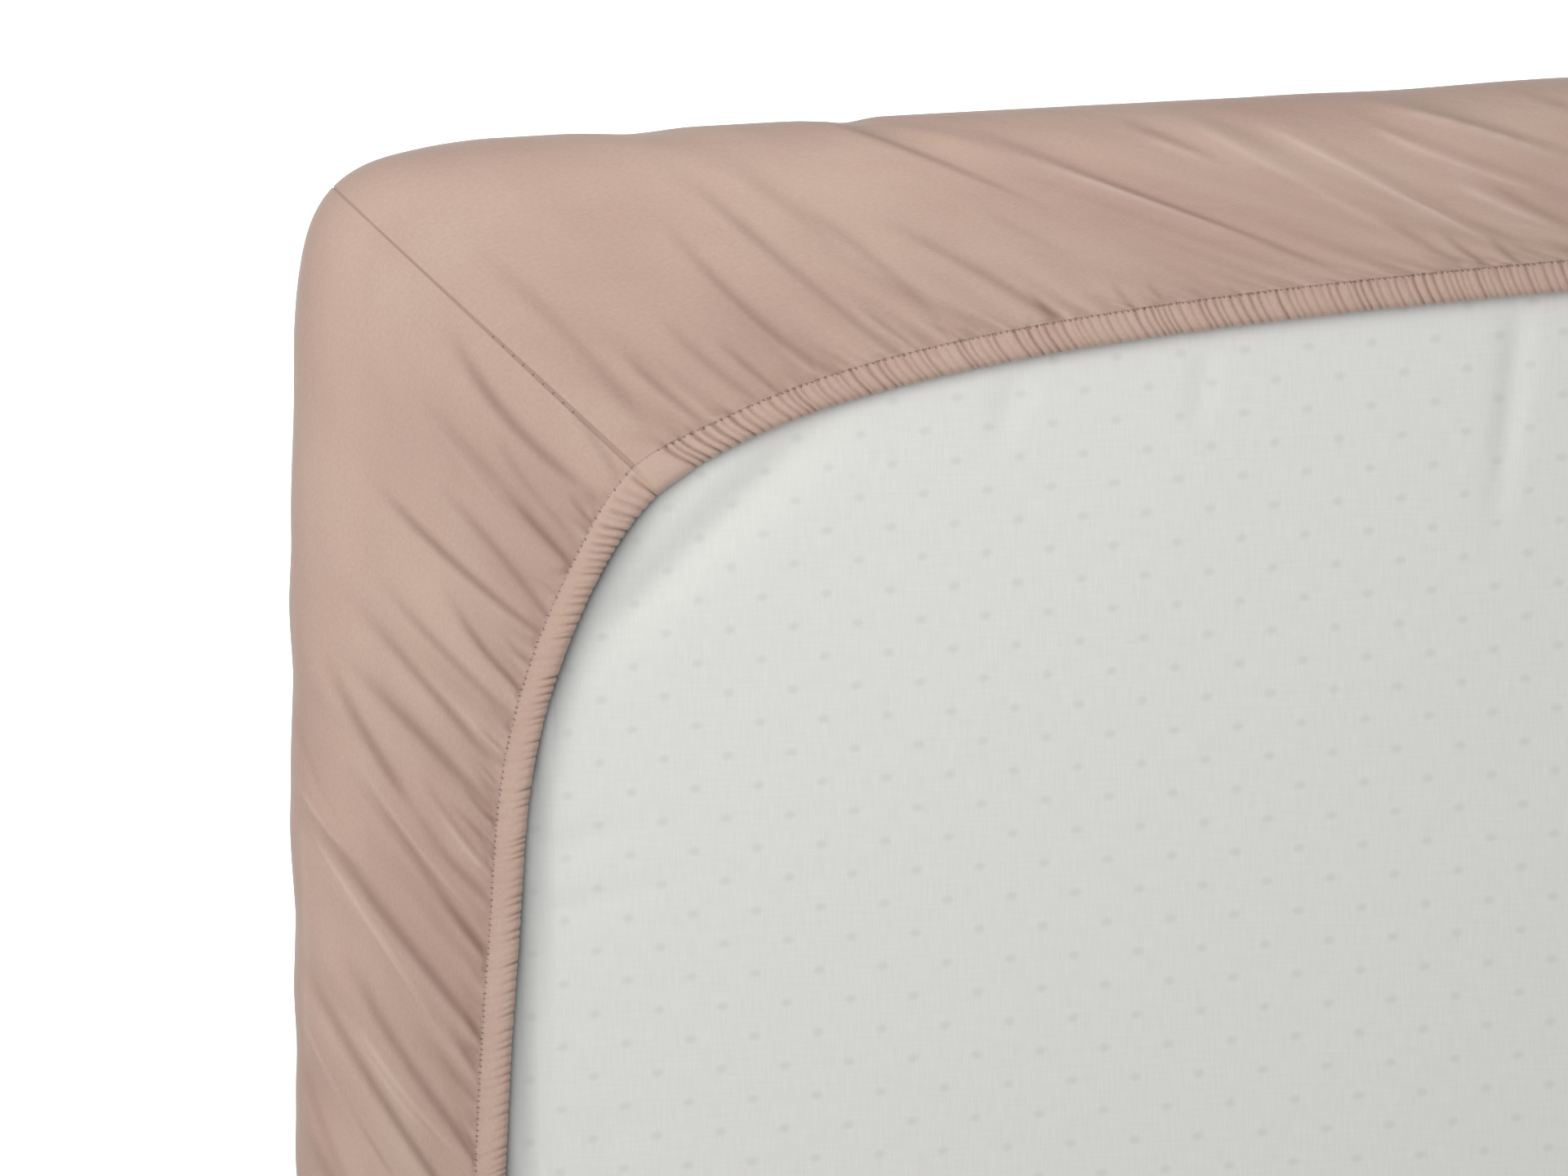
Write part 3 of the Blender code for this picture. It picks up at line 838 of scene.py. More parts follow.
# %% [markdown]
# ## The casing
#
# The hem is folded over the elastic and stitched, which makes a flat tube about a centimetre
# wide. The elastic is sewn in stretched, so when it relaxes the tube crumples into ruffles.
# Each ruffle is a valley across the tube, and between two valleys the cloth crowns up and its
# rim bulges out, which makes the scalloped edge. The valleys slant a little, away from the
# corner along the top and towards it on the left, where they are deep only near the rim.

# %% The casing's section
# Where a point lies on the way from the stitches (0) to the rim (1), how many millimetres above
# the mattress, and how much of a valley's depth it takes.
CasingPoint = namedtuple("CasingPoint", "across height ruffled")
CASING_STEPS = 2  # rows of the grid to each row of the table
CASING_SECTION = (
    CasingPoint(0.06, 2.1, 0.70), CasingPoint(0.15, 2.8, 0.90), CasingPoint(0.30, 3.5, 1.00),
    CasingPoint(0.50, 4.0, 1.00), CasingPoint(0.70, 4.0, 1.00), CasingPoint(0.84, 3.6, 1.00),
    CasingPoint(0.92, 2.9, 0.95), CasingPoint(0.97, 2.0, 0.80), CasingPoint(1.00, 1.0, 0.50),
    CasingPoint(0.99, 0.3, 0.00), CasingPoint(0.60, 0.3, 0.00),
)
WIDEST = max(range(len(CASING_SECTION)), key=lambda row: CASING_SECTION[row].across)
RIM_ROW = 1 + CASING_STEPS * WIDEST  # of the casing's grid, whose row 0 is at the stitches
LIFT_FADE = 1.5  # how much sooner than at the rim the casing stops following the folds


def finer(section):
    """A table's points with further ones between them."""
    steps = np.linspace(0, len(section) - 1, (len(section) - 1) * CASING_STEPS + 1)
    columns = [np.interp(steps, range(len(section)), column) for column in zip(*section)]
    return [CasingPoint(*values) for values in zip(*columns)]


# %% The casing's ruffles
# How far the valleys slant from the stitches to the rim, and over which share of the width
# they come up, at some places along the hem.
Ruffle = namedtuple("Ruffle", "place slant rise_from rise_to")
RUFFLES = {
    "long": (Ruffle(0.0, 0.0046, 0.0, 0.05), Ruffle(0.300, 0.0026, 0.0, 0.05)),
    "short": (Ruffle(0.0, -0.0028, 0.0, 0.30), Ruffle(0.050, -0.0034, 0.25, 1.05)),
}
RUFFLE_HOLD = 0.004  # the seam keeps them straight this near to it
RUFFLE_FADE = 0.05  # and they are straight again at the side's middle, from this near to it
RUFFLE_CURVE = 1.5
RUFFLE_SHADE = 0.65  # share of its depth that a valley gets as painted shade, as it is wide open
SCALLOP = 0.45  # how far the rim bulges between valleys, as a share of their depth
BULGE_BEGINS = 0.5  # share of the casing's width
STITCH_SHADE = 0.00035  # painted shade along the stitches, as a fold depth in metres; the casing is not dented there
STITCH_SHADE_REACH = 0.10  # share of the casing's width at which that painted shade ends


def along_row(row, place, wanted):
    """Points of a row of the grid at the wanted places."""
    return np.stack([np.interp(wanted, place, row[:, axis]) for axis in range(3)], axis=-1)


def slant_of(place, slant):
    """How far the valleys slant at each place, with the seam and the middle straight."""
    free = (1 - np.exp(-place / RUFFLE_HOLD)) * ease((place[-1] - place) / RUFFLE_FADE)
    return slant * free


def casing_section(index, place, stitches):
    """Rows round the casing at these columns, from the stitches over the rim and back."""
    half = halves[index]
    depth = pucker_depth(index, place)
    at, *columns = zip(*RUFFLES[half.side])
    slant, rise_from, rise_to = (np.interp(place, at, column) for column in columns)
    slant = slant_of(place, slant)
    stitch_lift = stitches[:, 2] - (MATTRESS_TOP + FACE_GAP + CLOTH)
    # Painted shade along the seam's groove, where it meets the casing.
    seam = SEAM_GROOVE * half.corner.shown * np.exp(-((place / SEAM_GROOVE_WIDTH) ** 2))
    rows = [stitches]
    # Painted shade in the ruffles' valleys and along the stitch line.
    hollows = [STITCH_SHADE + RUFFLE_SHADE * depth]
    for point in finer(CASING_SECTION):
        valley = depth * ease((point.across - rise_from) / (rise_to - rise_from))
        bulging = ease((point.across - BULGE_BEGINS) / (1 - BULGE_BEGINS))
        bulge = SCALLOP * (PUCKER_DEPTH[0] - valley) * bulging
        hem_along = HEM_IN_CORNER + place + slant * point.across**RUFFLE_CURVE
        plan = hem_plan(half, hem_along, CASING_WIDTH * (1 - point.across) - bulge)
        height = MATTRESS_TOP + point.height * MM - point.ruffled * valley
        height = height + stitch_lift * (1 - ease(point.across * LIFT_FADE))
        rows.append(to_world(half, *plan, np.maximum(height, MATTRESS_TOP + FACE_GAP)))
        # Painted shade along the stitches, fading across the casing.
        stitch_shade = STITCH_SHADE * (1 - ease(point.across / STITCH_SHADE_REACH))
        hollows.append(RUFFLE_SHADE * valley + seam + stitch_shade)
    return np.stack(rows), np.stack(hollows)


# %% Put the casing's grid together
CASING_COLUMNS = {True: 0.0004, False: 0.0020}  # how far apart, in the view and elsewhere

seams = np.flatnonzero(ring_places == 0.0)
casing_places = []
for half in halves:
    near = Spacing(shown_reach(half), CASING_COLUMNS[True])
    casing_places.append(column_places(half, (near, Spacing(TO_MIDDLE, CASING_COLUMNS[False]))))
casing_grids = []
casing_shade_depths = []
for index, place in enumerate(casing_places):
    step = 1 if index % 2 else -1
    taken = seams[index // 2] + step * np.arange(len(sheet_places[index]))
    last_row = sheet_ring[-1, taken % sheet_ring.shape[1]]
    stitches = along_row(last_row, sheet_places[index], place)
    grid, hollow = casing_section(index, place, stitches)
    casing_grids.append(grid)
    casing_shade_depths.append(hollow)
casing_ring = go_round(casing_grids)
casing_threads = go_round([HEM_IN_CORNER + place[None] for place in casing_places])[0]
casing = ring_mesh("hem_casing", casing_ring, tube=True)
map_cloth(casing, casing_ring, casing_threads)
keep_painted_shade(casing, go_round(casing_shade_depths))

# %% [markdown]
# ## Stitches
#
# A stitch is a short piece of thread that goes down into the cloth at both ends. A little
# capsule with tapered ends looks right from any distance at which the sheet is looked at.
# Numpy makes them all in one mesh: the same few points for each, turned and moved.

# %% The shape of a stitch
Stitch = namedtuple("Stitch", "length width sides")
StitchRing = namedtuple("StitchRing", "along thickness")  # shares of its length and width
STITCH_RINGS = (
    StitchRing(-0.5, 0.35), StitchRing(-0.28, 1.0), StitchRing(0.28, 1.0), StitchRing(0.5, 0.35),
)


def unit(vectors):
    """Vectors of length one."""
    return vectors / np.linalg.norm(vectors, axis=-1, keepdims=True)


def stitch_faces(sides, count):
    """Faces of many stitches whose points come one stitch after another."""
    rings = len(STITCH_RINGS)
    start = tuple(range(sides))[::-1]
    end = tuple((rings - 1) * sides + side for side in range(sides))
    faces = [start, end]
    for here in range(0, (rings - 1) * sides, sides):
        for side in range(sides):
            after = (side + 1) % sides
            faces.append((here + side, here + after, here + sides + after, here + sides + side))
    all_faces = []
    for first in range(0, count * rings * sides, rings * sides):
        all_faces += [tuple(first + corner for corner in face) for face in faces]
    return all_faces


def stitches_mesh(name, stitch, centres, runs, ups):
    """One mesh of stitches at these centres, each along its run."""
    runs = unit(runs)
    sideways = unit(np.cross(ups, runs))
    ups = np.cross(runs, sideways)
    points = []
    for ring in STITCH_RINGS:
        radius = stitch.width / 2 * ring.thickness
        for turn in 2 * np.pi * np.arange(stitch.sides) / stitch.sides:
            around = sideways * math.cos(turn) + ups * math.sin(turn)
            points.append(centres + runs * ring.along * stitch.length + around * radius)
    points = np.stack(points, axis=1)
    mesh = bpy.data.meshes.new(name)
    faces = stitch_faces(stitch.sides, len(centres))
    mesh.from_pydata(points.reshape(-1, 3).tolist(), [], faces)
    return new_object(mesh)


# %% [markdown]
# ## The hem's stitches
#
# They run along the line where the casing meets the band. In the view they are one real stitch
# apart, and elsewhere there are half as many. Each lies askew, and a little differently from
# the next, because the cloth was stretched when it was sewn and has drawn together since.

# %% The hem's row of stitches
HEM_STITCH = Stitch(0.0011, 0.00040, 5)
STITCH_PITCH = {True: 0.00175, False: 0.0035}
STITCH_UNEVEN = 0.12
STITCH_END_ROW = 3  # the row of the casing's grid towards which a stitch runs
STITCH_AT = 0.25  # where on that way its middle is, and how far that strays
STITCH_STRAYS = 0.10
STITCH_SLANT = 0.35
STITCH_TURNS = 8  # how many times more its slant strays than its place
STITCH_RAISE = (-0.0002, 0.0001)  # how far a stitch of the hem lies out of its dent
SMOOTH_SINK = 0.0002  # and how much deeper it lies where the casing is smooth

stitch_centres = []
stitch_runs = []
for index, half in enumerate(halves):
    near = Spacing(SHOWN_REACH[half.side], STITCH_PITCH[half.corner.shown])
    pitch = (near, Spacing(TO_MIDDLE, STITCH_PITCH[False]))
    wanted = spaced_places(0.0, hem_length(half.side), pitch, STITCH_UNEVEN, gather_rng)
    start, end = (
        along_row(casing_grids[index][row], casing_places[index], wanted)
        for row in (0, STITCH_END_ROW)
    )
    run = end - start
    forward = unit(np.gradient(start, axis=0)) * np.linalg.norm(run, axis=-1, keepdims=True)
    strays = np.array([
        (gather_rng.uniform(-STITCH_STRAYS, STITCH_STRAYS), gather_rng.uniform(*STITCH_RAISE))
        for place in wanted
    ])
    centres = start + run * (STITCH_AT + strays[:, :1])
    sink = SMOOTH_SINK * (np.array(wanted) < PUCKER_STARTS[half.side])
    centres[:, 2] += strays[:, 1] - sink
    stitch_centres.append(centres)
    stitch_runs.append(run + forward * STITCH_SLANT * (1 + strays[:, :1] * STITCH_TURNS))
stitch_runs = np.concatenate(stitch_runs)
upward = np.broadcast_to((0.0, 0.0, 1.0), stitch_runs.shape)
hem_stitching = stitches_mesh(
    "hem_stitching", HEM_STITCH, np.concatenate(stitch_centres), stitch_runs, upward
)

# %% [markdown]
# ## The corner seams' stitches
#
# A corner seam is sewn from inside, so its thread shows only where the seam is pulled open, for
# a few centimetres in the middle of the band. The stitches lie across the seam and hold its two
# sides together. Everywhere else they are sunk in the groove.

# %% The corner seams' rows of stitches
SEAM_STITCH = Stitch(0.0010, 0.00028, 5)
SEAM_STITCH_PITCH = 0.0042
SEAM_STITCH_RAISE = 0.0003  # or how far it is sunk, where the seam is closed
SEAM_OPEN = (0.235, 0.270)  # along the seam from under the mattress

seam_centres = []
seam_runs = []
seam_ups = []
seam_raises = []
normals = ring_normals(sheet_ring)
for seam in seams:
    line = sheet_ring[:, seam]
    steps = np.linalg.norm(np.diff(line, axis=0), axis=-1)
    run = np.concatenate([[0.0], np.cumsum(steps)])
    wanted = np.arange(SEAM_STITCH_PITCH, run[-1], SEAM_STITCH_PITCH)
    beside = sheet_ring[:, (seam + 2) % sheet_ring.shape[1]] - sheet_ring[:, seam - 2]
    seam_centres.append(along_row(line, run, wanted))
    seam_runs.append(along_row(beside, run, wanted))
    seam_ups.append(along_row(normals[:, seam], run, wanted))
    is_open = (wanted > SEAM_OPEN[0]) & (wanted < SEAM_OPEN[1])
    seam_raises.append(np.where(is_open, SEAM_STITCH_RAISE, -SEAM_STITCH_RAISE))
seam_ups = unit(np.concatenate(seam_ups))
seam_centres = np.concatenate(seam_centres) + seam_ups * np.concatenate(seam_raises)[:, None]
corner_seam_stitching = stitches_mesh(
    "corner_seam_stitching", SEAM_STITCH, seam_centres, np.concatenate(seam_runs), seam_ups
)

# %% [markdown]
# ## The mattress
#
# It is a block of foam in a white cover. Under the cloth it only has to be there, so its
# sides are as plain as in the part: the same outline, further in, over two rounded edges.

# %% The mattress's sides
MATTRESS_TURN = np.radians(np.linspace(0, 90, 7))[:, None]
MATTRESS_COLUMNS = 0.0022  # how far apart, where the view shows the hem


def mattress_section(half, place):
    """Rows of the mattress at these columns, from its bottom over its upper edge."""
    half_length = SIDES[half.side].half_length
    stretch = (half_length - SEAM_OUTLINE) / (half_length - HEM_IN_CORNER)
    edge_along = SEAM_OUTLINE + place * stretch
    inset = SHEET_SKIN + MATTRESS_EDGE_RADIUS * (1 - np.sin(MATTRESS_TURN))
    rise = MATTRESS_EDGE_RADIUS * (1 - np.cos(MATTRESS_TURN))
    lower = to_world(half, *inset_plan(edge_along, inset), MATTRESS_BOTTOM + rise)
    upper = to_world(half, *inset_plan(edge_along, inset[::-1]), MATTRESS_TOP - rise[::-1])
    return np.concatenate([lower, upper])


mattress_sections = []
for half in halves:
    near = Spacing(shown_reach(half), MATTRESS_COLUMNS)
    place = column_places(half, (near, Spacing(0.080, 0.010), Spacing(TO_MIDDLE, 0.024)))
    mattress_sections.append(mattress_section(half, place))
mattress_side = go_round(mattress_sections)
print("the mattress's sides:", mattress_side.shape)

# %% [markdown]
# ## The mattress's underside
#
# It shows inside the hem: nearly flat, very slightly hollow, and with a few soft wrinkles where
# the cover is loose. It is one more grid, of rings that shrink towards the middle, so it can be
# dented like the cloth. The elastic presses a shallow trough beside the rim, and its depth is
# kept too, for a painted shadow where little light gets in. A k-d tree finds the nearest point of
# the rim.

# %% The underside, and its wrinkles
# How large each ring is, as a share of the outline. They are close together round the hem.
TOP_LEVELS = np.concatenate([
    np.linspace(1.0, 0.95, 10)[:-1], np.linspace(0.95, 0.80, 90)[:-1],
    np.linspace(0.80, 0.60, 46)[:-1], np.linspace(0.60, 0.02, 16),
])
COVER_HOLLOW = 0.0008
COVER_HOLLOW_REACH = 0.04  # share of the way to the middle over which the cover sinks
COVER_WRINKLES = (
    Crease((172, 80), (125, 121), (74, 172), 2.2, 6.0, 0.3, 0.3),
    Crease((375, 50), (371, 89), (362, 142), 0.8, 3.4, 0.3, 0.5),
    Crease((279, 64), (277, 80), (274, 96), 0.4, 3.0, 0.4, 0.4),
    Crease((224, 70), (218, 84), (211, 104), 0.5, 4.0, 0.4, 0.5),
    Crease((62, 220), (86, 214), (112, 208), 0.5, 3.6, 0.3, 0.6),
    Crease((62, 238), (90, 232), (122, 225), 0.4, 3.2, 0.3, 0.6),
    Crease((60, 304), (84, 303), (112, 301), 0.4, 3.2, 0.3, 0.6),
)

levels = TOP_LEVELS[1:, None]
top_face = mattress_side[-1][None] * levels[..., None]
top_face[..., 2] = MATTRESS_TOP - COVER_HOLLOW * ease((1 - levels) / COVER_HOLLOW_REACH)
looked_at, across, down = in_picture(top_face)
across, down = across[looked_at], down[looked_at]
wrinkles = crease_height(COVER_WRINKLES, ridge, across, down)
top_face[looked_at, 2] -= wrinkles
print(f"the cover's wrinkles are up to {wrinkles.max() / MM:.1f} mm deep")

# %% The trough beside the rim
# These depths both dent the cover and set its painted shadow beside the rim.
HEM_PRESS = {"long": 0.0004, "short": 0.0010}
HEM_PRESS_REACH = {"long": 0.0034, "short": 0.0062}
PRESS_BLEND = 60  # millimetres across the corner's diagonal, between its two sides' values


def blend_sides(table, along_long):
    """Between the short side's value of a table and the long side's."""
    return table["short"] * (1 - along_long) + table["long"] * along_long


rims = KDTree(casing_ring.shape[1])
for number, point in enumerate(casing_ring[RIM_ROW]):
    rims.insert(point, number)
rims.balance()
from_rim = np.array([rims.find(point)[2] for point in top_face[looked_at]])
along_long = ease((across - down) / PRESS_BLEND + 0.5)
pressed = np.zeros(top_face.shape[:2])
pressed[looked_at] = blend_sides(HEM_PRESS, along_long) * np.exp(
    -((from_rim / blend_sides(HEM_PRESS_REACH, along_long)) ** 2)
)
top_face[..., 2] -= pressed
print(f"the elastic presses the cover by up to {pressed.max() / MM:.1f} mm")

# %% Build the mattress
mattress_ring = np.concatenate([mattress_side, top_face])
mattress = ring_mesh("mattress_ticking", mattress_ring, closed_start=True, closed_end=True)
# The trough's depth goes with the mesh, for its painted shadow.
keep_painted_shade(mattress, np.concatenate([np.zeros(mattress_side.shape[:2]), pressed]))

# %% [markdown]
# ## Colours and materials
#
# Colours are written as sRGB hex codes, as a colour picker shows them, and turned linear,
# because Blender mixes light in linear values. A texture's scale is always worked out from a
# real size: a pattern with threads `pitch` metres apart repeats every `pitch` of the UV map,
# which is in metres too.

# %% Helpers for materials
def linear(hex_colour, alpha=1.0):
    """A linear colour from an sRGB hex code."""
    values = [int(hex_colour[start:start + 2], 16) / 255 for start in (0, 2, 4)]
    bent = [v / 12.92 if v <= 0.04045 else ((v + 0.055) / 1.055) ** 2.4 for v in values]
    return (*bent, alpha)


def feed(tree, fed, inputs):
    """Set or link inputs of a node or a shader."""
    for key, value in inputs.items():
        if isinstance(value, bpy.types.NodeSocket):
            tree.links.new(value, fed.inputs[key])
        else:
            fed.inputs[key].default_value = value


def node(tree, kind, inputs=None, **settings):
    """Add a node with its settings, and set or link its inputs."""
    made = tree.nodes.new("ShaderNode" + kind)
    for name, value in settings.items():
        setattr(made, name, value)
    feed(tree, made, inputs or {})
    return made


def new_material(name):
    """A material with its tree and its shader."""
    material = bpy.data.materials.new(name)
    material.use_nodes = True
    tree = material.node_tree
    return material, tree, tree.nodes["Principled BSDF"]


def cover(pieces, material):
    """Give pieces a material."""
    for piece in pieces:
        piece.data.materials.append(material)
    print(f"{material.name}:", [piece.name for piece in pieces])


# %% [markdown]
# ## Dusty-rose cotton
#
# A plain weave of fine cotton. One thread goes over, the next under, which gives a fine even
# grain. The real threads are a quarter of a millimetre apart, too fine for this picture, so
# the grain is drawn about four times as coarse and kept weak: it takes the plastic smoothness
# away without showing as a pattern. Loose fibres catch grazing light, which is what the sheen
# is for. The dye never takes quite evenly, so the colour wanders a little.

# %% The cotton's weave
THREAD_PITCH = 0.0011
SLUBS = 900.0  # to a metre: thick and thin places of the yarn, about 1.1 mm apart
CRUMPLES = 130.0  # to a metre: small dents from handling, about 8 mm apart
WEAVE_SHARE = 0.35


def cotton_weave(tree, place):
    """The weave's relief as a normal, and its thick and thin places as a value."""
    waves = (2 * math.pi / THREAD_PITCH,) * 3
    turns = node(tree, "VectorMath", {0: place, 1: waves}, operation="MULTIPLY")
    split = node(tree, "SeparateXYZ", {0: turns.outputs["Vector"]}).outputs
    warp = node(tree, "Math", {0: split["X"]}, operation="SINE").outputs[0]
    weft = node(tree, "Math", {0: split["Y"]}, operation="SINE").outputs[0]
    weave = node(tree, "Math", {0: warp, 1: weft}, operation="MULTIPLY").outputs[0]
    slub = node(tree, "TexNoise", {"Vector": place, "Scale": SLUBS, "Detail": 3.0}).outputs[0]
    mixed = {0: weave, 1: WEAVE_SHARE, 2: slub}
    grain = node(tree, "Math", mixed, operation="MULTIPLY_ADD").outputs[0]
    fine = node(tree, "Bump", {"Height": grain, "Strength": 0.30, "Distance": 0.00012})
    crumple = node(tree, "TexNoise", {"Vector": place, "Scale": CRUMPLES, "Detail": 3.0})
    relief = node(tree, "Bump", {
        "Height": crumple.outputs[0], "Strength": 0.45, "Distance": 0.0007,
        "Normal": fine.outputs[0],
    })
    return relief.outputs[0], slub


# %% The cotton's material
DYE_PATCHES = 14.0  # to a metre: lighter and darker patches, about 7 cm apart
SLUB_SHARE = 0.6
FOLD_SHADE_FULL = 0.0024  # a fold this deep gets the darkest painted shade
RIDGE_HIGHLIGHT_FULL = 0.0012  # a ridge this high gets the brightest painted highlight


def cotton(name, light, dark, deep, ridge_highlight):
    """Plain-woven cotton of two close tones, with painted shade in folds, painted highlight on
    ridges.
    """
    material, tree, shader = new_material(name)
    place = node(tree, "UVMap", uv_map="cloth").outputs["UV"]
    relief, slub = cotton_weave(tree, place)
    patches = node(tree, "TexNoise", {"Vector": place, "Scale": DYE_PATCHES, "Detail": 4.0})
    mixed = {0: slub, 1: SLUB_SHARE, 2: patches.outputs[0]}
    mottle = node(tree, "Math", mixed, operation="MULTIPLY_ADD").outputs[0]
    level = node(tree, "MapRange", {"Value": mottle, "From Min": 0.55, "From Max": 1.05})
    colour = node(tree, "MixRGB", {0: level.outputs[0], 1: linear(dark), 2: linear(light)})
    # Painted shade deep in a fold, and a painted highlight on a ridge, from the mesh's attribute.
    hollow = node(tree, "Attribute", attribute_name="painted_shade_depth").outputs["Fac"]
    depth = node(tree, "MapRange", {"Value": hollow, "From Max": FOLD_SHADE_FULL}).outputs[0]
    shaded = node(tree, "MixRGB", {0: depth, 1: colour.outputs[0], 2: linear(deep)}).outputs[0]
    height = node(tree, "MapRange", {"Value": hollow, "From Max": -RIDGE_HIGHLIGHT_FULL}).outputs[0]
    lit = node(tree, "MixRGB", {0: height, 1: shaded, 2: linear(ridge_highlight)}).outputs[0]
    feed(tree, shader, {
        "Base Color": lit, "Normal": relief, "Roughness": 0.9, "Specular IOR Level": 0.2,
        "Sheen Weight": 0.65, "Sheen Roughness": 0.35, "Sheen Tint": linear("f2efee"),
    })
    return material


# The last two colours are the painted shade in folds and the painted highlight on ridges.
cover((sheet, casing), cotton("rose_plain_weave_cotton", "ccb3a3", "c0a295", "8c6f61", "e4d0c3"))

# %% [markdown]
# ## Thread
#
# Polyester sewing thread in the cloth's own colour. Its base colour is painted much darker, as
# painted shade for the dent that each stitch lies in and for a twisted thread shading itself.

# %% The thread's material
thread, tree, shader = new_material("rose_sewing_thread")
# The base colour is painted shade: much darker than the cloth's own colour.
feed(tree, shader, {"Base Color": linear("8f7468"), "Roughness": 0.6})
cover((hem_stitching, corner_seam_stitching), thread)

# %% [markdown]
# ## White ticking
#
# The mattress's cover is a double-knit: a smooth white face with small raised dots in a
# staggered lattice, where the face is knitted to the layer under it. The dots are made with
# node maths: the place is cut into square cells, and the distance to the middle of a cell
# gives a round hill. The same again, half a cell on, fills the gaps. Fine ribs run one way
# and fainter threads the other; both are noise stretched along one axis.

# %% The ticking's dots
DOT_PITCH = (0.0195, 0.0192)
DOT_SIZE = 0.0016
DOT_FOOT = 1.7  # in dot sizes from its middle, where a dot's hill begins
DOT_CROWN = 0.2  # and where it is full
DOT_LENGTH = 1.3  # how much longer than wide a dot is
DOT_SLANT = math.radians(35)
DOT_AT = (-0.7861, 0.5574, 0)
LATTICE_TURN = math.radians(-1.9)
LATTICE_LEAN = -0.077  # the cover is pulled askew, so the columns of dots lean this much


def lattice_dots(tree, place, shift):
    """Round hills on a square lattice, as a value from 0 to 1."""
    moved = node(tree, "VectorMath", {0: place, 1: (shift, shift, 0)}, operation="ADD").outputs[0]
    cell = node(tree, "VectorMath", {0: moved}, operation="FRACTION").outputs[0]
    middle = node(tree, "VectorMath", {0: cell, 1: (0.5, 0.5, 0)}, operation="SUBTRACT").outputs[0]
    flat = node(tree, "VectorMath", {0: middle, 1: (1, 1, 0)}, operation="MULTIPLY").outputs[0]
    turned = node(tree, "Mapping", {
        "Vector": flat, "Rotation": (0, 0, DOT_SLANT), "Scale": (1, DOT_LENGTH, 1),
    }).outputs[0]
    far = node(tree, "VectorMath", {0: turned}, operation="LENGTH").outputs["Value"]
    size = DOT_SIZE / DOT_PITCH[0]
    hill = {"Value": far, "From Min": size * DOT_FOOT, "From Max": size * DOT_CROWN}
    return node(tree, "MapRange", hill, interpolation_type="SMOOTHSTEP").outputs[0]


def ticking_dots(tree, place):
    """Both lattices of dots, at their real places on the cover."""
    from_dot = node(tree, "VectorMath", {0: place, 1: DOT_AT}, operation="SUBTRACT").outputs[0]
    split = node(tree, "SeparateXYZ", {0: from_dot}).outputs
    lean = {0: split["Y"], 1: LATTICE_LEAN, 2: split["X"]}
    leaned = node(tree, "Math", lean, operation="MULTIPLY_ADD").outputs[0]
    upright = node(tree, "CombineXYZ", {"X": leaned, "Y": split["Y"]}).outputs[0]
    lattice = node(tree, "Mapping", {
        "Vector": upright, "Rotation": (0, 0, LATTICE_TURN),
        "Scale": (1 / DOT_PITCH[0], 1 / DOT_PITCH[1], 0),
    }).outputs[0]
    both = {0: lattice_dots(tree, lattice, 0.0), 1: lattice_dots(tree, lattice, 0.5)}
    return node(tree, "Math", both, operation="MAXIMUM").outputs[0]


# %% The ticking's material
RIBS = (1500, 120, 0)  # to a metre: ribs 0.7 mm apart, which change along every 8 mm
THREADS = (90, 1100, 0)  # to a metre: threads 0.9 mm apart, which change along every 11 mm
THREAD_SHARE = 0.6
PRESS_SHADOW_FULL = 0.0013  # the painted shadow beside the rim is darkest where the cover is pressed this deep


def ticking(name):
    """White mattress cover with raised dots, fine ribs and a painted shadow beside the hem."""
    material, tree, shader = new_material(name)
    place = node(tree, "TexCoord").outputs["Object"]
    dots = ticking_dots(tree, place)
    ribs = node(tree, "Mapping", {"Vector": place, "Scale": RIBS}).outputs[0]
    threads = node(tree, "Mapping", {"Vector": place, "Scale": THREADS}).outputs[0]
    rib = node(tree, "TexNoise", {"Vector": ribs, "Scale": 1.0, "Detail": 2.0}).outputs[0]
    weft = node(tree, "TexNoise", {"Vector": threads, "Scale": 1.0, "Detail": 2.0}).outputs[0]
    mixed = {0: weft, 1: THREAD_SHARE, 2: rib}
    grain = node(tree, "Math", mixed, operation="MULTIPLY_ADD").outputs[0]
    level = node(tree, "MapRange", {"Value": grain, "From Min": 0.5, "From Max": 1.1}).outputs[0]
    colour = node(tree, "MixRGB", {0: level, 1: linear("dededa"), 2: linear("e5e5e1")}).outputs[0]
    dotted = node(tree, "MixRGB", {0: dots, 1: colour, 2: linear("d9d9d5")}).outputs[0]
    hollow = node(tree, "Attribute", attribute_name="painted_shade_depth").outputs["Fac"]
    depth = node(tree, "MapRange", {"Value": hollow, "From Max": PRESS_SHADOW_FULL}).outputs[0]
    # Painted shadow, bluish grey, in the trough beside the hem's rim.
    shaded = node(tree, "MixRGB", {0: depth, 1: dotted, 2: linear("83878a")}).outputs[0]
    knit = node(tree, "Bump", {"Height": grain, "Strength": 0.12, "Distance": 0.0002})
    raised = node(tree, "Bump", {
        "Height": dots, "Strength": 0.5, "Distance": 0.0002, "Normal": knit.outputs[0],
    })
    feed(tree, shader, {
        "Base Color": shaded, "Normal": raised.outputs[0],
        "Roughness": 0.95, "Specular IOR Level": 0.2,
    })
    return material


cover((mattress,), ticking("white_double_knit_ticking"))

# %% [markdown]
# ## What every piece is
#
# Each piece rides on the one body, and the part's two plain solids are hidden, as the sheet and
# the mattress take their place.

for piece in (sheet, casing, hem_stitching, corner_seam_stitching, mattress):
    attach(piece, "root")
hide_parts("fitted_sheet")
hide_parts("mattress")

# %% [markdown]
# ## Floor
#
# The mattress lies on a pale grey floor that throws some light back at the sheet's sides. Only
# the rays that come straight from the camera see it as pure white, which a light path node
# tells apart. It is so large that its edge doesn't show from the side.

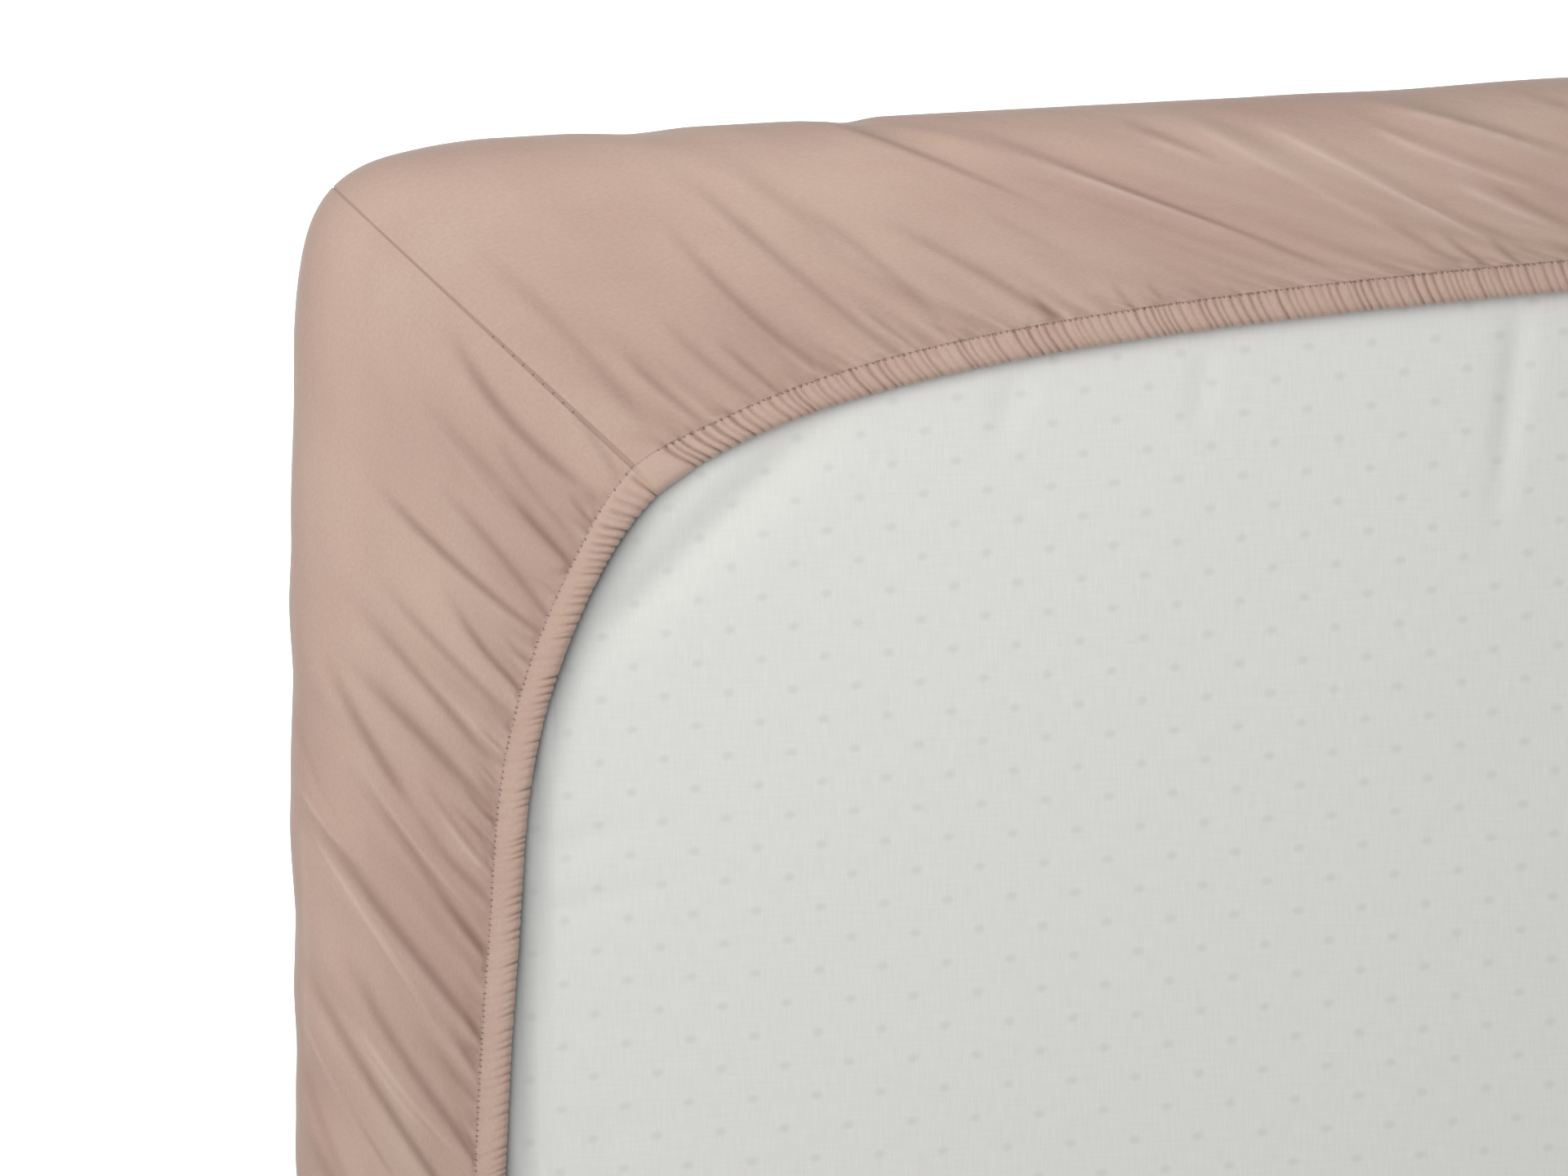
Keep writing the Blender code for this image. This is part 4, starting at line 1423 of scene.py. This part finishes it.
# %% Lay the floor
AIM = Vector((-0.848, 0.548, MATTRESS_TOP))  # the middle of the view
FLOOR_SIZE = 40
FLOOR_DROP = 0.0005  # below the sheet, so that the two don't touch
FLOOR_GLOW = 1.3  # what the camera sees

bpy.ops.mesh.primitive_plane_add(size=FLOOR_SIZE, location=(AIM.x, AIM.y, -FLOOR_DROP))
floor = bpy.context.object
floor.name = "floor"
white, tree, shader = new_material("white_floor")
seen = node(tree, "LightPath").outputs["Is Camera Ray"]
glow = node(tree, "Math", {0: seen, 1: FLOOR_GLOW}, operation="MULTIPLY").outputs[0]
feed(tree, shader, {
    "Base Color": linear("dcdcdc"), "Roughness": 1.0,
    "Emission Color": linear("ffffff"), "Emission Strength": glow,
})
cover((floor,), white)

# %% [markdown]
# ## Light
#
# A large soft lamp stands on the left, and shades the far side of each fold. A second one
# hangs near the corner, so the light falls off towards the lower right. A white world fills
# the shadows.

# %% Hang the lamps
Lamp = namedtuple("Lamp", "name azimuth height distance size power")
LAMPS = (
    Lamp("key", math.radians(199), math.radians(60), 2.2, 1.3, 15.3),
    Lamp("corner_softbox", math.radians(112), math.radians(54), 0.66, 0.4, 1.6),
)
WORLD_STRENGTH = 0.42

for row in LAMPS:
    direction = Vector((
        math.cos(row.height) * math.cos(row.azimuth),
        math.cos(row.height) * math.sin(row.azimuth),
        math.sin(row.height),
    ))
    lamp_data = bpy.data.lights.new(row.name, "AREA")
    lamp_data.size = row.size
    lamp_data.energy = row.power
    lamp = bpy.data.objects.new(row.name, lamp_data)
    lamp.location = AIM + direction * row.distance
    lamp.rotation_euler = direction.to_track_quat("Z", "Y").to_euler()
    lamp.visible_camera = False
    bpy.context.scene.collection.objects.link(lamp)
    print(f"{row.name}: {row.power} W, at", [round(value, 2) for value in lamp.location])

world = bpy.data.worlds.new("soft_white")
world.use_nodes = True
background = world.node_tree.nodes["Background"]
feed(world.node_tree, background, {"Color": linear("ffffff"), "Strength": WORLD_STRENGTH})
bpy.context.scene.world = world

# %% [markdown]
# ## Camera
#
# It looks straight down at one corner through a long lens, so that the sides of the mattress
# don't show. The standard view transform keeps white white.

# %% Set up the camera
CAMERA_TURN = math.radians(-1.4)
CAMERA_DISTANCE = 4.8
LENS = 360.0
SENSOR_WIDTH = 36.0

camera_data = bpy.data.cameras.new("camera")
camera_data.lens = LENS
camera_data.sensor_width = SENSOR_WIDTH
camera_data.clip_end = 50.0
camera = bpy.data.objects.new("camera", camera_data)
camera.location = AIM + Vector((0, 0, CAMERA_DISTANCE))
camera.rotation_euler = (0, 0, CAMERA_TURN)
bpy.context.scene.collection.objects.link(camera)
bpy.context.scene.camera = camera
bpy.context.scene.view_settings.view_transform = "Standard"
print(f"the view is {SENSOR_WIDTH / LENS * CAMERA_DISTANCE:.3f} m wide")
